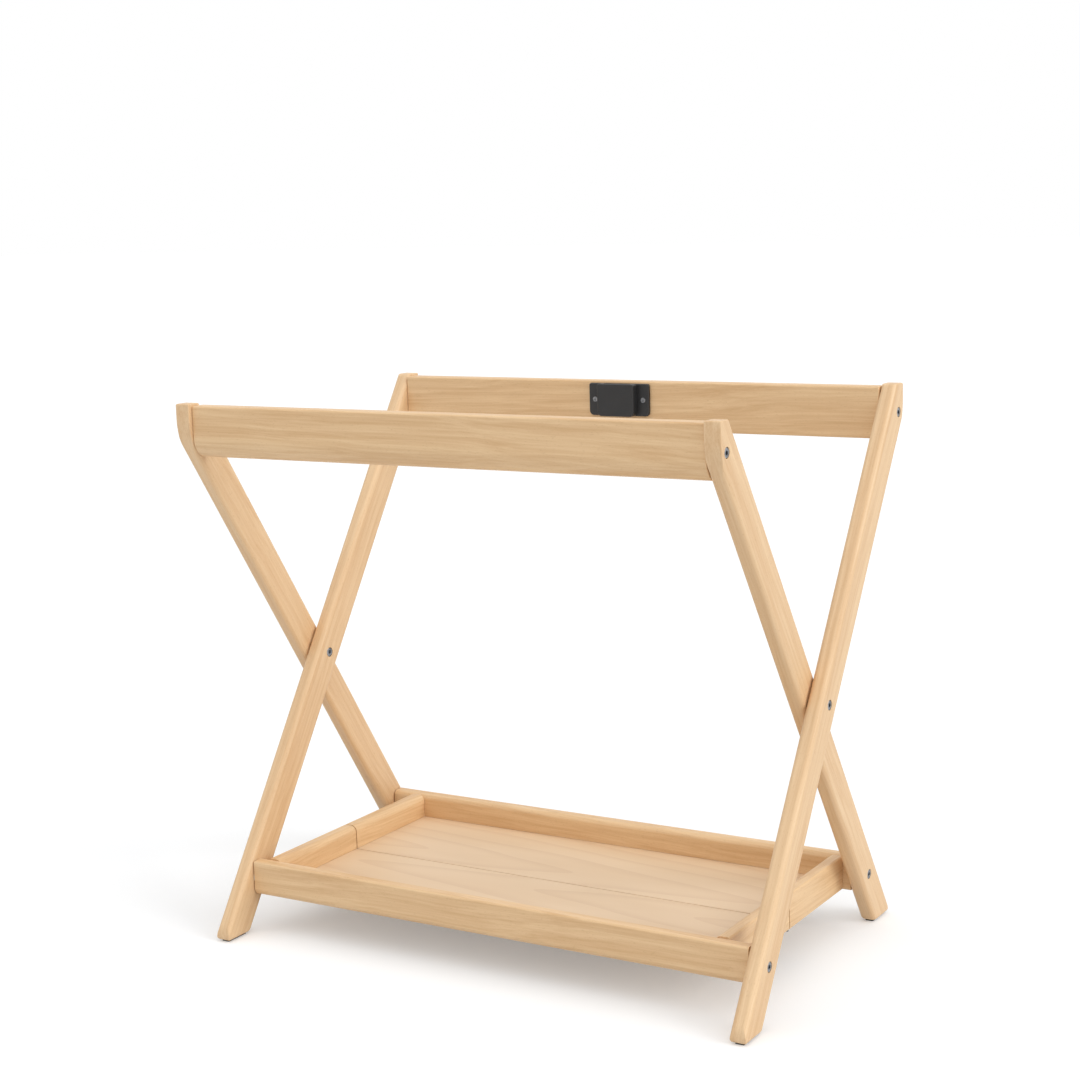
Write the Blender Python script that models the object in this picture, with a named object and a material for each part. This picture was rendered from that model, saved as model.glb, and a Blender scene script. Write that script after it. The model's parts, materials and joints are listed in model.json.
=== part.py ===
"""Folding wooden bassinet stand: two crossed leg frames, two top rails and a shelf tray in two halves.

Metres, +Z up. X runs along the rails and -Y is the front. The origin is on the floor, midway between
the feet. Frame A has its top rail at the front and its feet at the back. Frame B is the same frame
turned half round about Z, so its legs lie beside those of frame A. The tray hangs between the lower
ends of the legs. It is hinged along its middle, and rises into a ridge as the frames close.
"""
import math

import bmesh
import bpy
from mathutils import Matrix
from mathutils import Vector

# Overall size
OVERALL_LENGTH = 0.790
STAND_HEIGHT = 0.710
CROSSING_HEIGHT = 0.342
LEG_ANGLE = math.radians(33.8)

# Clearance between still pieces that touch, and across the tray's seam
FIT_GAP = 0.0003
SEAM_GAP = 0.0008

# Legs, whose tops are cut upright and curve into the slant
LEG_THICKNESS = 0.021
LEG_WIDTH = 0.046
LEG_EDGE_RADIUS = 0.0065
NOSE_HEIGHT = 0.0467
NOSE_FLAT = 0.018
LEG_BACK_RADIUS = 0.008
LEG_TOE_RADIUS = 0.032
LEG_TOP_ROUND = 0.002
LEG_FOOT_ROUND = 0.004
PAD_THICKNESS = 0.002
PAD_INSET = 0.0008

# Top rails, which end below the legs' tops and lie back behind their noses
LEG_REVEAL = 0.003
TOP_RAIL_RECESS = 0.006
TOP_RAIL_HEIGHT = 0.0665
TOP_RAIL_THICKNESS = 0.024
RAIL_EDGE_RADIUS = 0.003
TOP_RAIL_LOWER_RADIUS = 0.020
TOP_BOLT_INSET = 0.015
DOWEL_RADIUS = 0.004
DOWEL_IN_LEG = 0.011
DOWEL_IN_RAIL = 0.018
DOWEL_BELOW_BOLT = 0.019
DOWEL_INSET = 0.0165

# Bolts, sleeve nuts, threaded inserts and washers
BOLT_RADIUS = 0.003
BOLT_HEAD_RADIUS = 0.00625
BOLT_HEAD_HEIGHT = 0.004
BOLT_HEAD_RECESS = 0.0005
SOCKET_ACROSS_FLATS = 0.005
SOCKET_DEPTH = 0.0024
EDGE_BREAK = 0.0006
SLEEVE_WALL = 0.0012
CROSS_BOLT_LENGTH = 0.022
INSERT_WALL = 0.0012
INSERT_LENGTH = 0.013
TOP_INSERT_LENGTH = 0.022
BOLT_SHORT_OF_INSERT = 0.002
WASHER_THICKNESS = 0.0008
WASHER_RADIUS = 0.010

# Tray
TRAY_CLEARANCE = 0.050
TRAY_RAIL_HEIGHT = 0.046
TRAY_RAIL_THICKNESS = 0.020
TRAY_LOWER_EDGE_RADIUS = 0.008
TRAY_INNER_EDGE_RADIUS = 0.007
END_RAIL_CLEARANCE = 0.0121
END_RAIL_THICKNESS = 0.020
END_RAIL_INNER_RADIUS = 0.009
PANEL_THICKNESS = 0.006
PANEL_ABOVE_UNDERSIDE = 0.007
GROOVE_DEPTH = 0.006
TENON_THICKNESS = 0.007
TENON_HEIGHT = 0.022
TENON_LENGTH = 0.011
TENON_INSET = 0.009

# Butt hinges under the end rails
HINGE_WIDTH = 0.015
LEAF_LENGTH = 0.027
LEAF_THICKNESS = 0.0015
HINGE_PIN_RADIUS = 0.001
KNUCKLE_CLEARANCE = 0.0006
KNUCKLE_SLIT = math.radians(15)
HINGE_SCREW_INSET = 0.0065
HINGE_SCREW_SPACING = 0.011
HINGE_SCREW_RADIUS = 0.0014
HINGE_SCREW_LENGTH = 0.013

# Cradle brackets on the inner faces of the top rails
BRACKET_WIDTH = 0.056
BRACKET_HEIGHT = 0.044
BRACKET_DEPTH = 0.015
BRACKET_DROP = 0.003
BRACKET_CORNER = 0.006
FLANGE_WING = 0.018
FLANGE_THICKNESS = 0.004
POCKET_END_WALL = 0.008
POCKET_SIDE_WALL = 0.004
POCKET_FLOOR = 0.010
BRACKET_SCREW_RADIUS = 0.0018
BRACKET_SCREW_HEAD_RADIUS = 0.0036
BRACKET_SCREW_LENGTH = 0.016
SCREW_HEAD_EDGE = 0.00015

# Facets of round shapes, the share of an edge that its two fillets may take, the angle that shades
# as an edge, the distance that welds points, and how far a cut runs past the face it enters
SIDES = 12
EDGE_STEPS = 3
NOSE_STEPS = 6
FILLET_SHARE = 0.96
SHARP_ANGLE = math.radians(35)
WELD_DISTANCE = 1e-6
OVERSHOOT = 0.003

# Places along X that follow from the sizes
TURNING_GAP = WASHER_THICKNESS + 2 * FIT_GAP
HALF_LENGTH = OVERALL_LENGTH / 2
OUTER_LEG_X = HALF_LENGTH - LEG_THICKNESS / 2
INNER_LEG_X = OUTER_LEG_X - LEG_THICKNESS - TURNING_GAP
TRAY_HALF_LENGTH = INNER_LEG_X - LEG_THICKNESS / 2 - END_RAIL_CLEARANCE
END_RAIL_X = TRAY_HALF_LENGTH - END_RAIL_THICKNESS / 2
END_RAIL_INNER_X = TRAY_HALF_LENGTH - END_RAIL_THICKNESS

# Leg and top rail places
SLOPE = math.tan(LEG_ANGLE)
LEG_HALF_SPAN = LEG_WIDTH / 2 / math.cos(LEG_ANGLE)
FOOT_Z = PAD_THICKNESS + FIT_GAP
TOE_CENTRE_Z = FOOT_Z + LEG_FOOT_ROUND
TOE_TOP_Z = TOE_CENTRE_Z + LEG_TOE_RADIUS * math.sin(LEG_ANGLE)
NOSE_CORNER_Z = STAND_HEIGHT - NOSE_HEIGHT
NOSE_REACH = (NOSE_CORNER_Z - CROSSING_HEIGHT) * SLOPE + LEG_HALF_SPAN
NOSE_TANGENT = NOSE_HEIGHT - NOSE_FLAT
NOSE_RADIUS = NOSE_TANGENT / math.tan(LEG_ANGLE / 2)
NOSE_TOP_Z = NOSE_CORNER_Z + NOSE_TANGENT
NOSE_LOW_Z = NOSE_CORNER_Z - NOSE_TANGENT * math.cos(LEG_ANGLE)
BACK_CENTRE_Z = STAND_HEIGHT - LEG_BACK_RADIUS
BACK_LOW_Z = BACK_CENTRE_Z + LEG_BACK_RADIUS * math.sin(LEG_ANGLE)
RAIL_TOP_Z = STAND_HEIGHT - LEG_REVEAL
RAIL_BOTTOM_Z = RAIL_TOP_Z - TOP_RAIL_HEIGHT
RAIL_OUTER_Y = -(NOSE_REACH - TOP_RAIL_RECESS)
RAIL_INNER_Y = RAIL_OUTER_Y + TOP_RAIL_THICKNESS
TOP_BOLT_Z = RAIL_TOP_Z - TOP_RAIL_HEIGHT / 2
TOP_BOLT_Y = -(NOSE_REACH - TOP_BOLT_INSET)
DOWEL_Y = -(NOSE_REACH - DOWEL_INSET)
DOWEL_Z = TOP_BOLT_Z - DOWEL_BELOW_BOLT
BRACKET_TOP_Z = RAIL_TOP_Z - BRACKET_DROP
BRACKET_BACK_Y = RAIL_INNER_Y + FIT_GAP

# Fastener sizes that follow from what they fit
HEAD_UNDERSIDE = BOLT_HEAD_RECESS + BOLT_HEAD_HEIGHT
COUNTERBORE_DEPTH = HEAD_UNDERSIDE + FIT_GAP
LEG_WEB = LEG_THICKNESS - COUNTERBORE_DEPTH
BOLT_HOLE_RADIUS = BOLT_RADIUS + FIT_GAP
SLEEVE_RADIUS = BOLT_HOLE_RADIUS + SLEEVE_WALL
INSERT_RADIUS = BOLT_HOLE_RADIUS + INSERT_WALL
TOP_BOLT_IN_RAIL = TOP_INSERT_LENGTH - BOLT_SHORT_OF_INSERT
PIN_HOLE_RADIUS = HINGE_PIN_RADIUS + FIT_GAP
KNUCKLE_RADIUS = PIN_HOLE_RADIUS + LEAF_THICKNESS

# Tray places
TRAY_TOP_Z = TRAY_CLEARANCE + TRAY_RAIL_HEIGHT
PIVOT_Z = TRAY_CLEARANCE + TRAY_RAIL_HEIGHT / 2
PIVOT_Y = (CROSSING_HEIGHT - PIVOT_Z) * SLOPE
TRAY_OUTER_Y = PIVOT_Y + TRAY_RAIL_THICKNESS / 2
TRAY_INNER_Y = PIVOT_Y - TRAY_RAIL_THICKNESS / 2
PANEL_BOTTOM_Z = TRAY_CLEARANCE + PANEL_ABOVE_UNDERSIDE
PANEL_TOP_Z = PANEL_BOTTOM_Z + PANEL_THICKNESS
HINGE_Z = TRAY_CLEARANCE

X_AXIS = Vector((1, 0, 0))
Y_AXIS = Vector((0, 1, 0))
Z_AXIS = Vector((0, 0, 1))

# Each body's joint axis runs along X through its place here, and its parent carries that place
BODIES = {
    "frame_a": (None, Vector((0, 0, 0))),
    "frame_b": ("frame_a", Vector((0, 0, CROSSING_HEIGHT))),
    "tray_back": ("frame_a", Vector((0, PIVOT_Y, PIVOT_Z))),
    "tray_front": ("tray_back", Vector((0, 0, HINGE_Z))),
}

# Colour, roughness and metallic value
FINISHES = {
    "leg_wood": ((0.76, 0.54, 0.32), 0.5, 0.0),
    "rail_wood": ((0.72, 0.50, 0.28), 0.5, 0.0),
    "panel_wood": ((0.78, 0.60, 0.40), 0.5, 0.0),
    "dowel_wood": ((0.70, 0.50, 0.30), 0.6, 0.0),
    "zinc_steel": ((0.60, 0.60, 0.58), 0.35, 1.0),
    "rubber": ((0.05, 0.05, 0.05), 0.85, 0.0),
    "nylon": ((0.75, 0.74, 0.70), 0.5, 0.0),
    "black_plastic": ((0.03, 0.03, 0.03), 0.45, 0.0),
}


# Scene

def clear_scene():
    for obj in list(bpy.data.objects):
        bpy.data.objects.remove(obj, do_unlink=True)


def make_material(name):
    """A sub-part's own material, in the finish that its name says."""
    colour, roughness, metallic = FINISHES[name]
    material = bpy.data.materials.new(name)
    material.use_nodes = True
    shader = material.node_tree.nodes["Principled BSDF"]
    shader.inputs["Base Color"].default_value = (*colour, 1.0)
    shader.inputs["Roughness"].default_value = roughness
    shader.inputs["Metallic"].default_value = metallic
    return material


def make_axes():
    """An empty on each body's joint axis, parented as the bodies are."""
    axes = {}
    for body, (parent, place) in BODIES.items():
        empty = bpy.data.objects.new("axis_" + body, None)
        empty.empty_display_size = LEG_WIDTH
        empty.location = place
        if parent:
            empty.parent = axes[parent]
            empty.location = place - BODIES[parent][1]
        bpy.context.collection.objects.link(empty)
        axes[body] = empty
    return axes


def link_object(name, bm):
    """An object from a mesh in world places, with its origin at the middle of its bounds."""
    bmesh.ops.remove_doubles(bm, verts=bm.verts, dist=WELD_DISTANCE)
    bmesh.ops.recalc_face_normals(bm, faces=bm.faces)
    low = Vector([min(v.co[i] for v in bm.verts) for i in range(3)])
    high = Vector([max(v.co[i] for v in bm.verts) for i in range(3)])
    middle = (low + high) / 2
    bmesh.ops.translate(bm, vec=-middle, verts=bm.verts)
    mesh = bpy.data.meshes.new(name)
    bm.to_mesh(mesh)
    bm.free()
    mesh.shade_smooth()
    mesh.set_sharp_from_angle(angle=SHARP_ANGLE)
    obj = bpy.data.objects.new(name, mesh)
    obj.location = middle
    bpy.context.collection.objects.link(obj)
    return obj


class Body:
    """Adds pieces to one body. A turned body's meshes are made as if unturned, then turned about Z."""

    def __init__(self, name, axes, turned=False):
        self.axis = axes[name]
        self.place = BODIES[name][1]
        self.turned = turned

    def side_name(self, side):
        """left or right as it lies in the finished stand; side is -1 or 1 before the body turns."""
        return "left" if (side < 0) != self.turned else "right"

    def settle(self, bm):
        if self.turned:
            bmesh.ops.rotate(bm, verts=bm.verts, cent=(0, 0, 0), matrix=Matrix.Rotation(math.pi, 3, "Z"))

    def add(self, name, finish, bm, cuts=(), joins=()):
        """One sub-part: its mesh, then meshes to join on, then meshes to cut away."""
        self.settle(bm)
        obj = link_object(name, bm)
        obj.data.materials.append(make_material(finish))
        obj.parent = self.axis
        obj.location -= self.place
        tools = [("UNION", tool) for tool in joins] + [("DIFFERENCE", tool) for tool in cuts]
        for number, (operation, tool) in enumerate(tools, 1):
            self.settle(tool)
            helper = link_object(f"{name}_tool_{number}", tool)
            helper.hide_render = True
            helper.display_type = "WIRE"
            boolean = obj.modifiers.new(f"{operation.title()} {number}", "BOOLEAN")
            boolean.operation = operation
            boolean.solver = "EXACT"
            boolean.object = helper


# Meshes

def box(bm, low, high):
    size = [b - a for a, b in zip(low, high)]
    centre = [(a + b) / 2 for a, b in zip(low, high)]
    place = Matrix.Translation(centre) @ Matrix.Diagonal((*size, 1.0))
    bmesh.ops.create_cube(bm, size=1.0, matrix=place)


def loft(bm, rings, closed=False):
    """Joins rings of points, all of one count, and caps both ends unless the rings close on themselves."""
    rows = [[bm.verts.new(point) for point in ring] for ring in rings]
    count = len(rings[0])
    pairs = list(zip(rows, rows[1:]))
    if closed:
        pairs.append((rows[-1], rows[0]))
    for lower, upper in pairs:
        for i in range(count):
            j = (i + 1) % count
            bm.faces.new((lower[i], lower[j], upper[j], upper[i]))
    if not closed:
        bm.faces.new(rows[0])
        bm.faces.new(rows[-1])


def revolve(bm, start, direction, profile, closed=False, hexagonal=()):
    """Turns (distance, radius) steps about a line. Steps numbered in hexagonal are six-sided."""
    axis = Vector(direction).normalized()
    side = X_AXIS if abs(axis.x) < 0.5 else Z_AXIS
    up = axis.cross(side)
    rings = []
    for number, (distance, radius) in enumerate(profile):
        ring = []
        for k in range(SIDES):
            angle = math.tau * k / SIDES
            reach = radius
            if number in hexagonal:
                reach = radius / math.cos(angle % (math.pi / 3) - math.pi / 6)
            spoke = side * math.cos(angle) + up * math.sin(angle)
            ring.append(Vector(start) + axis * distance + spoke * reach)
        rings.append(ring)
    loft(bm, rings, closed)


def cylinder(bm, start, direction, length, radius):
    revolve(bm, start, direction, [(0, radius), (length, radius)])


def hole(bm, start, direction, depth, radius):
    """A cutter for a hole that enters at start, which runs out past the face there."""
    revolve(bm, start, direction, [(-OVERSHOOT, radius), (depth, radius)])


def tube(bm, start, direction, length, outer, inner):
    revolve(bm, start, direction, [(0, inner), (0, outer), (length, outer), (length, inner)], closed=True)


def chamfered_rod(bm, start, direction, length, radius):
    profile = [(0, radius - EDGE_BREAK), (EDGE_BREAK, radius),
               (length - EDGE_BREAK, radius), (length, radius - EDGE_BREAK)]
    revolve(bm, start, direction, profile)


def arc(centre_a, centre_b, radius, first, last, steps):
    """Points on an arc between two angles."""
    points = []
    for k in range(steps + 1):
        angle = first + (last - first) * k / steps
        points.append((centre_a + radius * math.cos(angle), centre_b + radius * math.sin(angle)))
    return points


def filleted(corners, steps=EDGE_STEPS):
    """An outline from (a, b, radius) corners, each rounded as far as the edges beside it leave room."""
    outline = []
    count = len(corners)
    for i, (a, b, radius) in enumerate(corners):
        here = Vector((a, b))
        ways = []
        rooms = []
        for neighbour in (corners[i - 1], corners[(i + 1) % count]):
            way = Vector(neighbour[:2]) - here
            rooms.append(way.length * FILLET_SHARE * radius / (radius + neighbour[2]))
            ways.append(way.normalized())
        half = ways[0].angle(ways[1]) / 2
        reach = min(radius / math.tan(half), *rooms)
        centre = here + (ways[0] + ways[1]).normalized() * reach / math.cos(half)
        first = here + ways[0] * reach - centre
        last = here + ways[1] * reach - centre
        turn = first.angle(last)
        for k in range(steps + 1):
            share = k / steps
            spoke = first * math.sin((1 - share) * turn) + last * math.sin(share * turn)
            outline.append(centre + spoke / math.sin(turn))
    return outline


def extrude_along_x(bm, outline, near, far):
    """Extrudes a (y, z) outline between two places along X."""
    loft(bm, [[Vector((x, y, z)) for y, z in outline] for x in (near, far)])


def extrude_along_y(bm, outline, near, far):
    """Extrudes an (x, z) outline between two places along Y."""
    loft(bm, [[Vector((x, y, z)) for x, z in outline] for y in (near, far)])


# Legs

def nose_limit(z):
    """How far a top may reach outwards: upright at the very top, then curving in to the slant."""
    drop = max(0.0, NOSE_TOP_Z - z)
    return NOSE_REACH - NOSE_RADIUS + math.sqrt(NOSE_RADIUS ** 2 - drop ** 2)


def face_limit(z, face, centre_z, radius):
    """How far a slanted face may reach where it curves upright. The curve ends at centre_z, and face is
    the slanted face's reach there."""
    rise = max(0.0, z - centre_z)
    return face - radius / math.cos(LEG_ANGLE) + math.sqrt(max(0.0, radius ** 2 - rise ** 2))


def foot_side_limit(z):
    """How far the side of the foot may reach: at the toe, and at the rounded back corner of the top."""
    if z < TOE_TOP_Z:
        face = (CROSSING_HEIGHT - TOE_CENTRE_Z) * SLOPE + LEG_HALF_SPAN
        return face_limit(z, face, TOE_CENTRE_Z, LEG_TOE_RADIUS)
    if z > BACK_LOW_Z:
        face = (CROSSING_HEIGHT - BACK_CENTRE_Z) * SLOPE + LEG_HALF_SPAN
        return face_limit(z, face, BACK_CENTRE_Z, LEG_BACK_RADIUS)
    return math.inf


def leg_corner(half_x, radius, face, limit):
    """One rounded corner of a leg's level section, from its side to its face, cut flat at the limit."""
    stretched = radius / math.cos(LEG_ANGLE)
    base = face - stretched
    last = math.asin(max(0.0, min(1.0, (limit - base) / stretched)))
    corner = []
    for k in range(EDGE_STEPS + 1):
        angle = last * k / EDGE_STEPS
        x = half_x - radius + radius * math.cos(angle)
        corner.append((x, min(base + stretched * math.sin(angle), limit)))
    return corner


def leg_section(z, inset=0.0):
    """A leg's level section as (x, reach) points, where reach grows towards the side of its top."""
    half_x = LEG_THICKNESS / 2 - inset
    half_span = LEG_HALF_SPAN - inset
    radius = max(LEG_EDGE_RADIUS - inset, EDGE_BREAK)
    middle = (z - CROSSING_HEIGHT) * SLOPE
    nose = nose_limit(z) - inset if z > NOSE_LOW_Z else math.inf
    top_side = leg_corner(half_x, radius, half_span + middle, nose)
    foot_side = leg_corner(half_x, radius, half_span - middle, foot_side_limit(z) - inset)
    section = list(top_side)
    section += [(-x, reach) for x, reach in reversed(top_side)]
    section += [(-x, -reach) for x, reach in foot_side]
    section += [(x, -reach) for x, reach in reversed(foot_side)]
    return section


def leg_levels():
    """Heights of a leg's sections from foot to top, each with its inset at the rounded ends."""
    quarter = [math.pi / 2 * k / EDGE_STEPS for k in range(EDGE_STEPS + 1)]
    levels = []
    for a in quarter:
        levels.append((TOE_CENTRE_Z - LEG_FOOT_ROUND * math.cos(a), LEG_FOOT_ROUND * (1 - math.sin(a))))
    toe_rise = TOE_TOP_Z - TOE_CENTRE_Z
    levels += [(TOE_CENTRE_Z + toe_rise * k / EDGE_STEPS, 0.0) for k in range(1, EDGE_STEPS + 1)]
    nose_rise = NOSE_TOP_Z - NOSE_LOW_Z
    levels += [(NOSE_LOW_Z + nose_rise * k / NOSE_STEPS, 0.0) for k in range(NOSE_STEPS + 1)]
    levels.append((BACK_LOW_Z, 0.0))
    top_base = STAND_HEIGHT - LEG_TOP_ROUND
    levels += [(top_base + LEG_TOP_ROUND * math.sin(a), LEG_TOP_ROUND * (1 - math.cos(a))) for a in quarter]
    return levels


def leg_x(side):
    """The middle of a leg of frame A, the outer one at the left (-1) or the inner one at the right (1)."""
    return -OUTER_LEG_X if side < 0 else INNER_LEG_X


def outer_face(side):
    return leg_x(side) + side * LEG_THICKNESS / 2


def inner_face(side):
    return leg_x(side) - side * LEG_THICKNESS / 2


def leg_mesh(side):
    """A leg of frame A, which leans to the front at its top."""
    bm = bmesh.new()
    rings = []
    for z, inset in leg_levels():
        rings.append([Vector((leg_x(side) + x, -reach, z)) for x, reach in leg_section(z, inset)])
    loft(bm, rings)
    return bm


def counterbored_hole(bm, face_x, direction, y, z, radius):
    """A hole through a leg, with room for a bolt's head at the face that it enters."""
    head = BOLT_HEAD_RADIUS + FIT_GAP
    profile = [(-OVERSHOOT, head), (COUNTERBORE_DEPTH, head),
               (COUNTERBORE_DEPTH, radius), (LEG_THICKNESS + OVERSHOOT, radius)]
    revolve(bm, (face_x, y, z), X_AXIS * direction, profile)


def leg_holes(side):
    """Holes of a leg of frame A. The crossing's head lies at -X on both legs."""
    bm = bmesh.new()
    counterbored_hole(bm, outer_face(side), -side, TOP_BOLT_Y, TOP_BOLT_Z, BOLT_HOLE_RADIUS)
    counterbored_hole(bm, outer_face(side), -side, PIVOT_Y, PIVOT_Z, BOLT_HOLE_RADIUS)
    counterbored_hole(bm, leg_x(side) - LEG_THICKNESS / 2, 1, 0, CROSSING_HEIGHT, SLEEVE_RADIUS + FIT_GAP)
    start = (inner_face(side), DOWEL_Y, DOWEL_Z)
    hole(bm, start, X_AXIS * side, DOWEL_IN_LEG + FIT_GAP, DOWEL_RADIUS + FIT_GAP)
    return bm


def foot_pad_mesh(side):
    bm = bmesh.new()
    section = leg_section(FOOT_Z, LEG_FOOT_ROUND + PAD_INSET)
    loft(bm, [[Vector((leg_x(side) + x, -reach, z)) for x, reach in section] for z in (0.0, PAD_THICKNESS)])
    return bm


# Top rail of frame A, between its outer left leg and its inner right leg

def top_rail_end(side):
    return inner_face(side) - side * FIT_GAP


def top_rail_mesh():
    corners = [(RAIL_INNER_Y, RAIL_BOTTOM_Z, RAIL_EDGE_RADIUS),
               (RAIL_INNER_Y, RAIL_TOP_Z, RAIL_EDGE_RADIUS),
               (RAIL_OUTER_Y, RAIL_TOP_Z, RAIL_EDGE_RADIUS),
               (RAIL_OUTER_Y, RAIL_BOTTOM_Z, TOP_RAIL_LOWER_RADIUS)]
    bm = bmesh.new()
    extrude_along_x(bm, filleted(corners, 2 * EDGE_STEPS), top_rail_end(-1), top_rail_end(1))
    return bm


def top_rail_holes():
    """Holes for the inserts and dowels in the rail's ends, and the holes of the bracket's screws."""
    bm = bmesh.new()
    for side in (-1, 1):
        end = top_rail_end(side)
        way = X_AXIS * -side
        hole(bm, (end, TOP_BOLT_Y, TOP_BOLT_Z), way, TOP_INSERT_LENGTH + FIT_GAP, INSERT_RADIUS + FIT_GAP)
        hole(bm, (end, DOWEL_Y, DOWEL_Z), way, DOWEL_IN_RAIL + FIT_GAP, DOWEL_RADIUS + FIT_GAP)
        bracket_screw(bm, side, FIT_GAP)
    return bm


# Fasteners

def bolt(bm, face_x, direction, y, z, length):
    """A bolt with a six-sided socket, its head in a counterbore; length is measured under the head."""
    profile = [(BOLT_HEAD_RECESS + SOCKET_DEPTH, SOCKET_ACROSS_FLATS / 2),
               (BOLT_HEAD_RECESS, SOCKET_ACROSS_FLATS / 2),
               (BOLT_HEAD_RECESS, BOLT_HEAD_RADIUS - EDGE_BREAK),
               (BOLT_HEAD_RECESS + EDGE_BREAK, BOLT_HEAD_RADIUS),
               (HEAD_UNDERSIDE, BOLT_HEAD_RADIUS),
               (HEAD_UNDERSIDE, BOLT_RADIUS),
               (HEAD_UNDERSIDE + length, BOLT_RADIUS)]
    revolve(bm, (face_x, y, z), X_AXIS * direction, profile, hexagonal=(0, 1))


def screw(bm, start, direction, head_radius, radius, length, grow=0.0):
    """A countersunk screw flush with the face at start, or with grow the hole that clears it."""
    cone = head_radius - radius
    outside = OVERSHOOT if grow else 0.0
    profile = [(-outside, head_radius + grow), (grow + SCREW_HEAD_EDGE, head_radius + grow),
               (grow + cone, radius + grow), (grow + length, radius + grow)]
    revolve(bm, start, direction, profile)


def top_bolt_mesh(side):
    bm = bmesh.new()
    bolt(bm, outer_face(side), -side, TOP_BOLT_Y, TOP_BOLT_Z, LEG_WEB + 2 * FIT_GAP + TOP_BOLT_IN_RAIL)
    return bm


def top_insert_mesh(side):
    """A threaded insert in the end of the top rail."""
    bm = bmesh.new()
    start = (top_rail_end(side), TOP_BOLT_Y, TOP_BOLT_Z)
    tube(bm, start, X_AXIS * -side, TOP_INSERT_LENGTH, INSERT_RADIUS, BOLT_HOLE_RADIUS)
    return bm


def rail_dowel_mesh(side):
    bm = bmesh.new()
    start = (inner_face(side) + side * DOWEL_IN_LEG, DOWEL_Y, DOWEL_Z)
    chamfered_rod(bm, start, X_AXIS * -side, DOWEL_IN_LEG + FIT_GAP + DOWEL_IN_RAIL, DOWEL_RADIUS)
    return bm


def pivot_bolt_mesh(side, reach):
    """A bolt through a leg at the tray's pivot; reach is how far it stands out of the leg's inner face."""
    bm = bmesh.new()
    bolt(bm, outer_face(side), -side, PIVOT_Y, PIVOT_Z, FIT_GAP + LEG_WEB + reach)
    return bm


def pivot_washer_mesh(side):
    """A washer between a leg and the end of the tray rail."""
    bm = bmesh.new()
    start = (inner_face(side) - side * FIT_GAP, PIVOT_Y, PIVOT_Z)
    tube(bm, start, X_AXIS * -side, WASHER_THICKNESS, WASHER_RADIUS, BOLT_HOLE_RADIUS)
    return bm


def sleeve_nut_mesh(face_x):
    """A headed sleeve that the crossing turns on: open at its far end, where the bolt screws in."""
    bm = bmesh.new()
    end = HEAD_UNDERSIDE + FIT_GAP + 2 * LEG_WEB + TURNING_GAP
    profile = [(BOLT_HEAD_RECESS, BOLT_HEAD_RADIUS - EDGE_BREAK),
               (BOLT_HEAD_RECESS + EDGE_BREAK, BOLT_HEAD_RADIUS),
               (HEAD_UNDERSIDE, BOLT_HEAD_RADIUS),
               (HEAD_UNDERSIDE, SLEEVE_RADIUS),
               (end, SLEEVE_RADIUS),
               (end, BOLT_HOLE_RADIUS),
               (HEAD_UNDERSIDE, BOLT_HOLE_RADIUS)]
    revolve(bm, (face_x, 0, CROSSING_HEIGHT), X_AXIS, profile)
    return bm


def cross_bolt_mesh(face_x):
    bm = bmesh.new()
    bolt(bm, face_x, -1, 0, CROSSING_HEIGHT, CROSS_BOLT_LENGTH)
    return bm


def cross_washer_mesh(face_x):
    bm = bmesh.new()
    start = (face_x + FIT_GAP, 0, CROSSING_HEIGHT)
    tube(bm, start, X_AXIS, WASHER_THICKNESS, WASHER_RADIUS, SLEEVE_RADIUS + FIT_GAP)
    return bm


# Cradle bracket of frame A: a flange screwed to the rail, with a pocket that is open at its top

def bracket_plate(half_width):
    low = BRACKET_TOP_Z - BRACKET_HEIGHT
    return filleted([(-half_width, low, BRACKET_CORNER),
                     (half_width, low, BRACKET_CORNER),
                     (half_width, BRACKET_TOP_Z, RAIL_EDGE_RADIUS),
                     (-half_width, BRACKET_TOP_Z, RAIL_EDGE_RADIUS)])


def bracket_flange_mesh():
    bm = bmesh.new()
    half_width = BRACKET_WIDTH / 2 + FLANGE_WING
    extrude_along_y(bm, bracket_plate(half_width), BRACKET_BACK_Y, BRACKET_BACK_Y + FLANGE_THICKNESS)
    return bm


def bracket_block_mesh():
    bm = bmesh.new()
    start = BRACKET_BACK_Y + FLANGE_THICKNESS / 2
    extrude_along_y(bm, bracket_plate(BRACKET_WIDTH / 2), start, BRACKET_BACK_Y + BRACKET_DEPTH)
    return bm


def bracket_pocket():
    bm = bmesh.new()
    half_length = BRACKET_WIDTH / 2 - POCKET_END_WALL
    floor = BRACKET_TOP_Z - BRACKET_HEIGHT + POCKET_FLOOR
    box(bm, (-half_length, BRACKET_BACK_Y + POCKET_SIDE_WALL, floor),
        (half_length, BRACKET_BACK_Y + BRACKET_DEPTH - POCKET_SIDE_WALL, BRACKET_TOP_Z + OVERSHOOT))
    return bm


def bracket_screw(bm, side, grow=0.0):
    start = (side * (BRACKET_WIDTH + FLANGE_WING) / 2, BRACKET_BACK_Y + FLANGE_THICKNESS,
             BRACKET_TOP_Z - BRACKET_HEIGHT / 2)
    screw(bm, start, -Y_AXIS, BRACKET_SCREW_HEAD_RADIUS, BRACKET_SCREW_RADIUS, BRACKET_SCREW_LENGTH, grow)


# Frames

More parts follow.
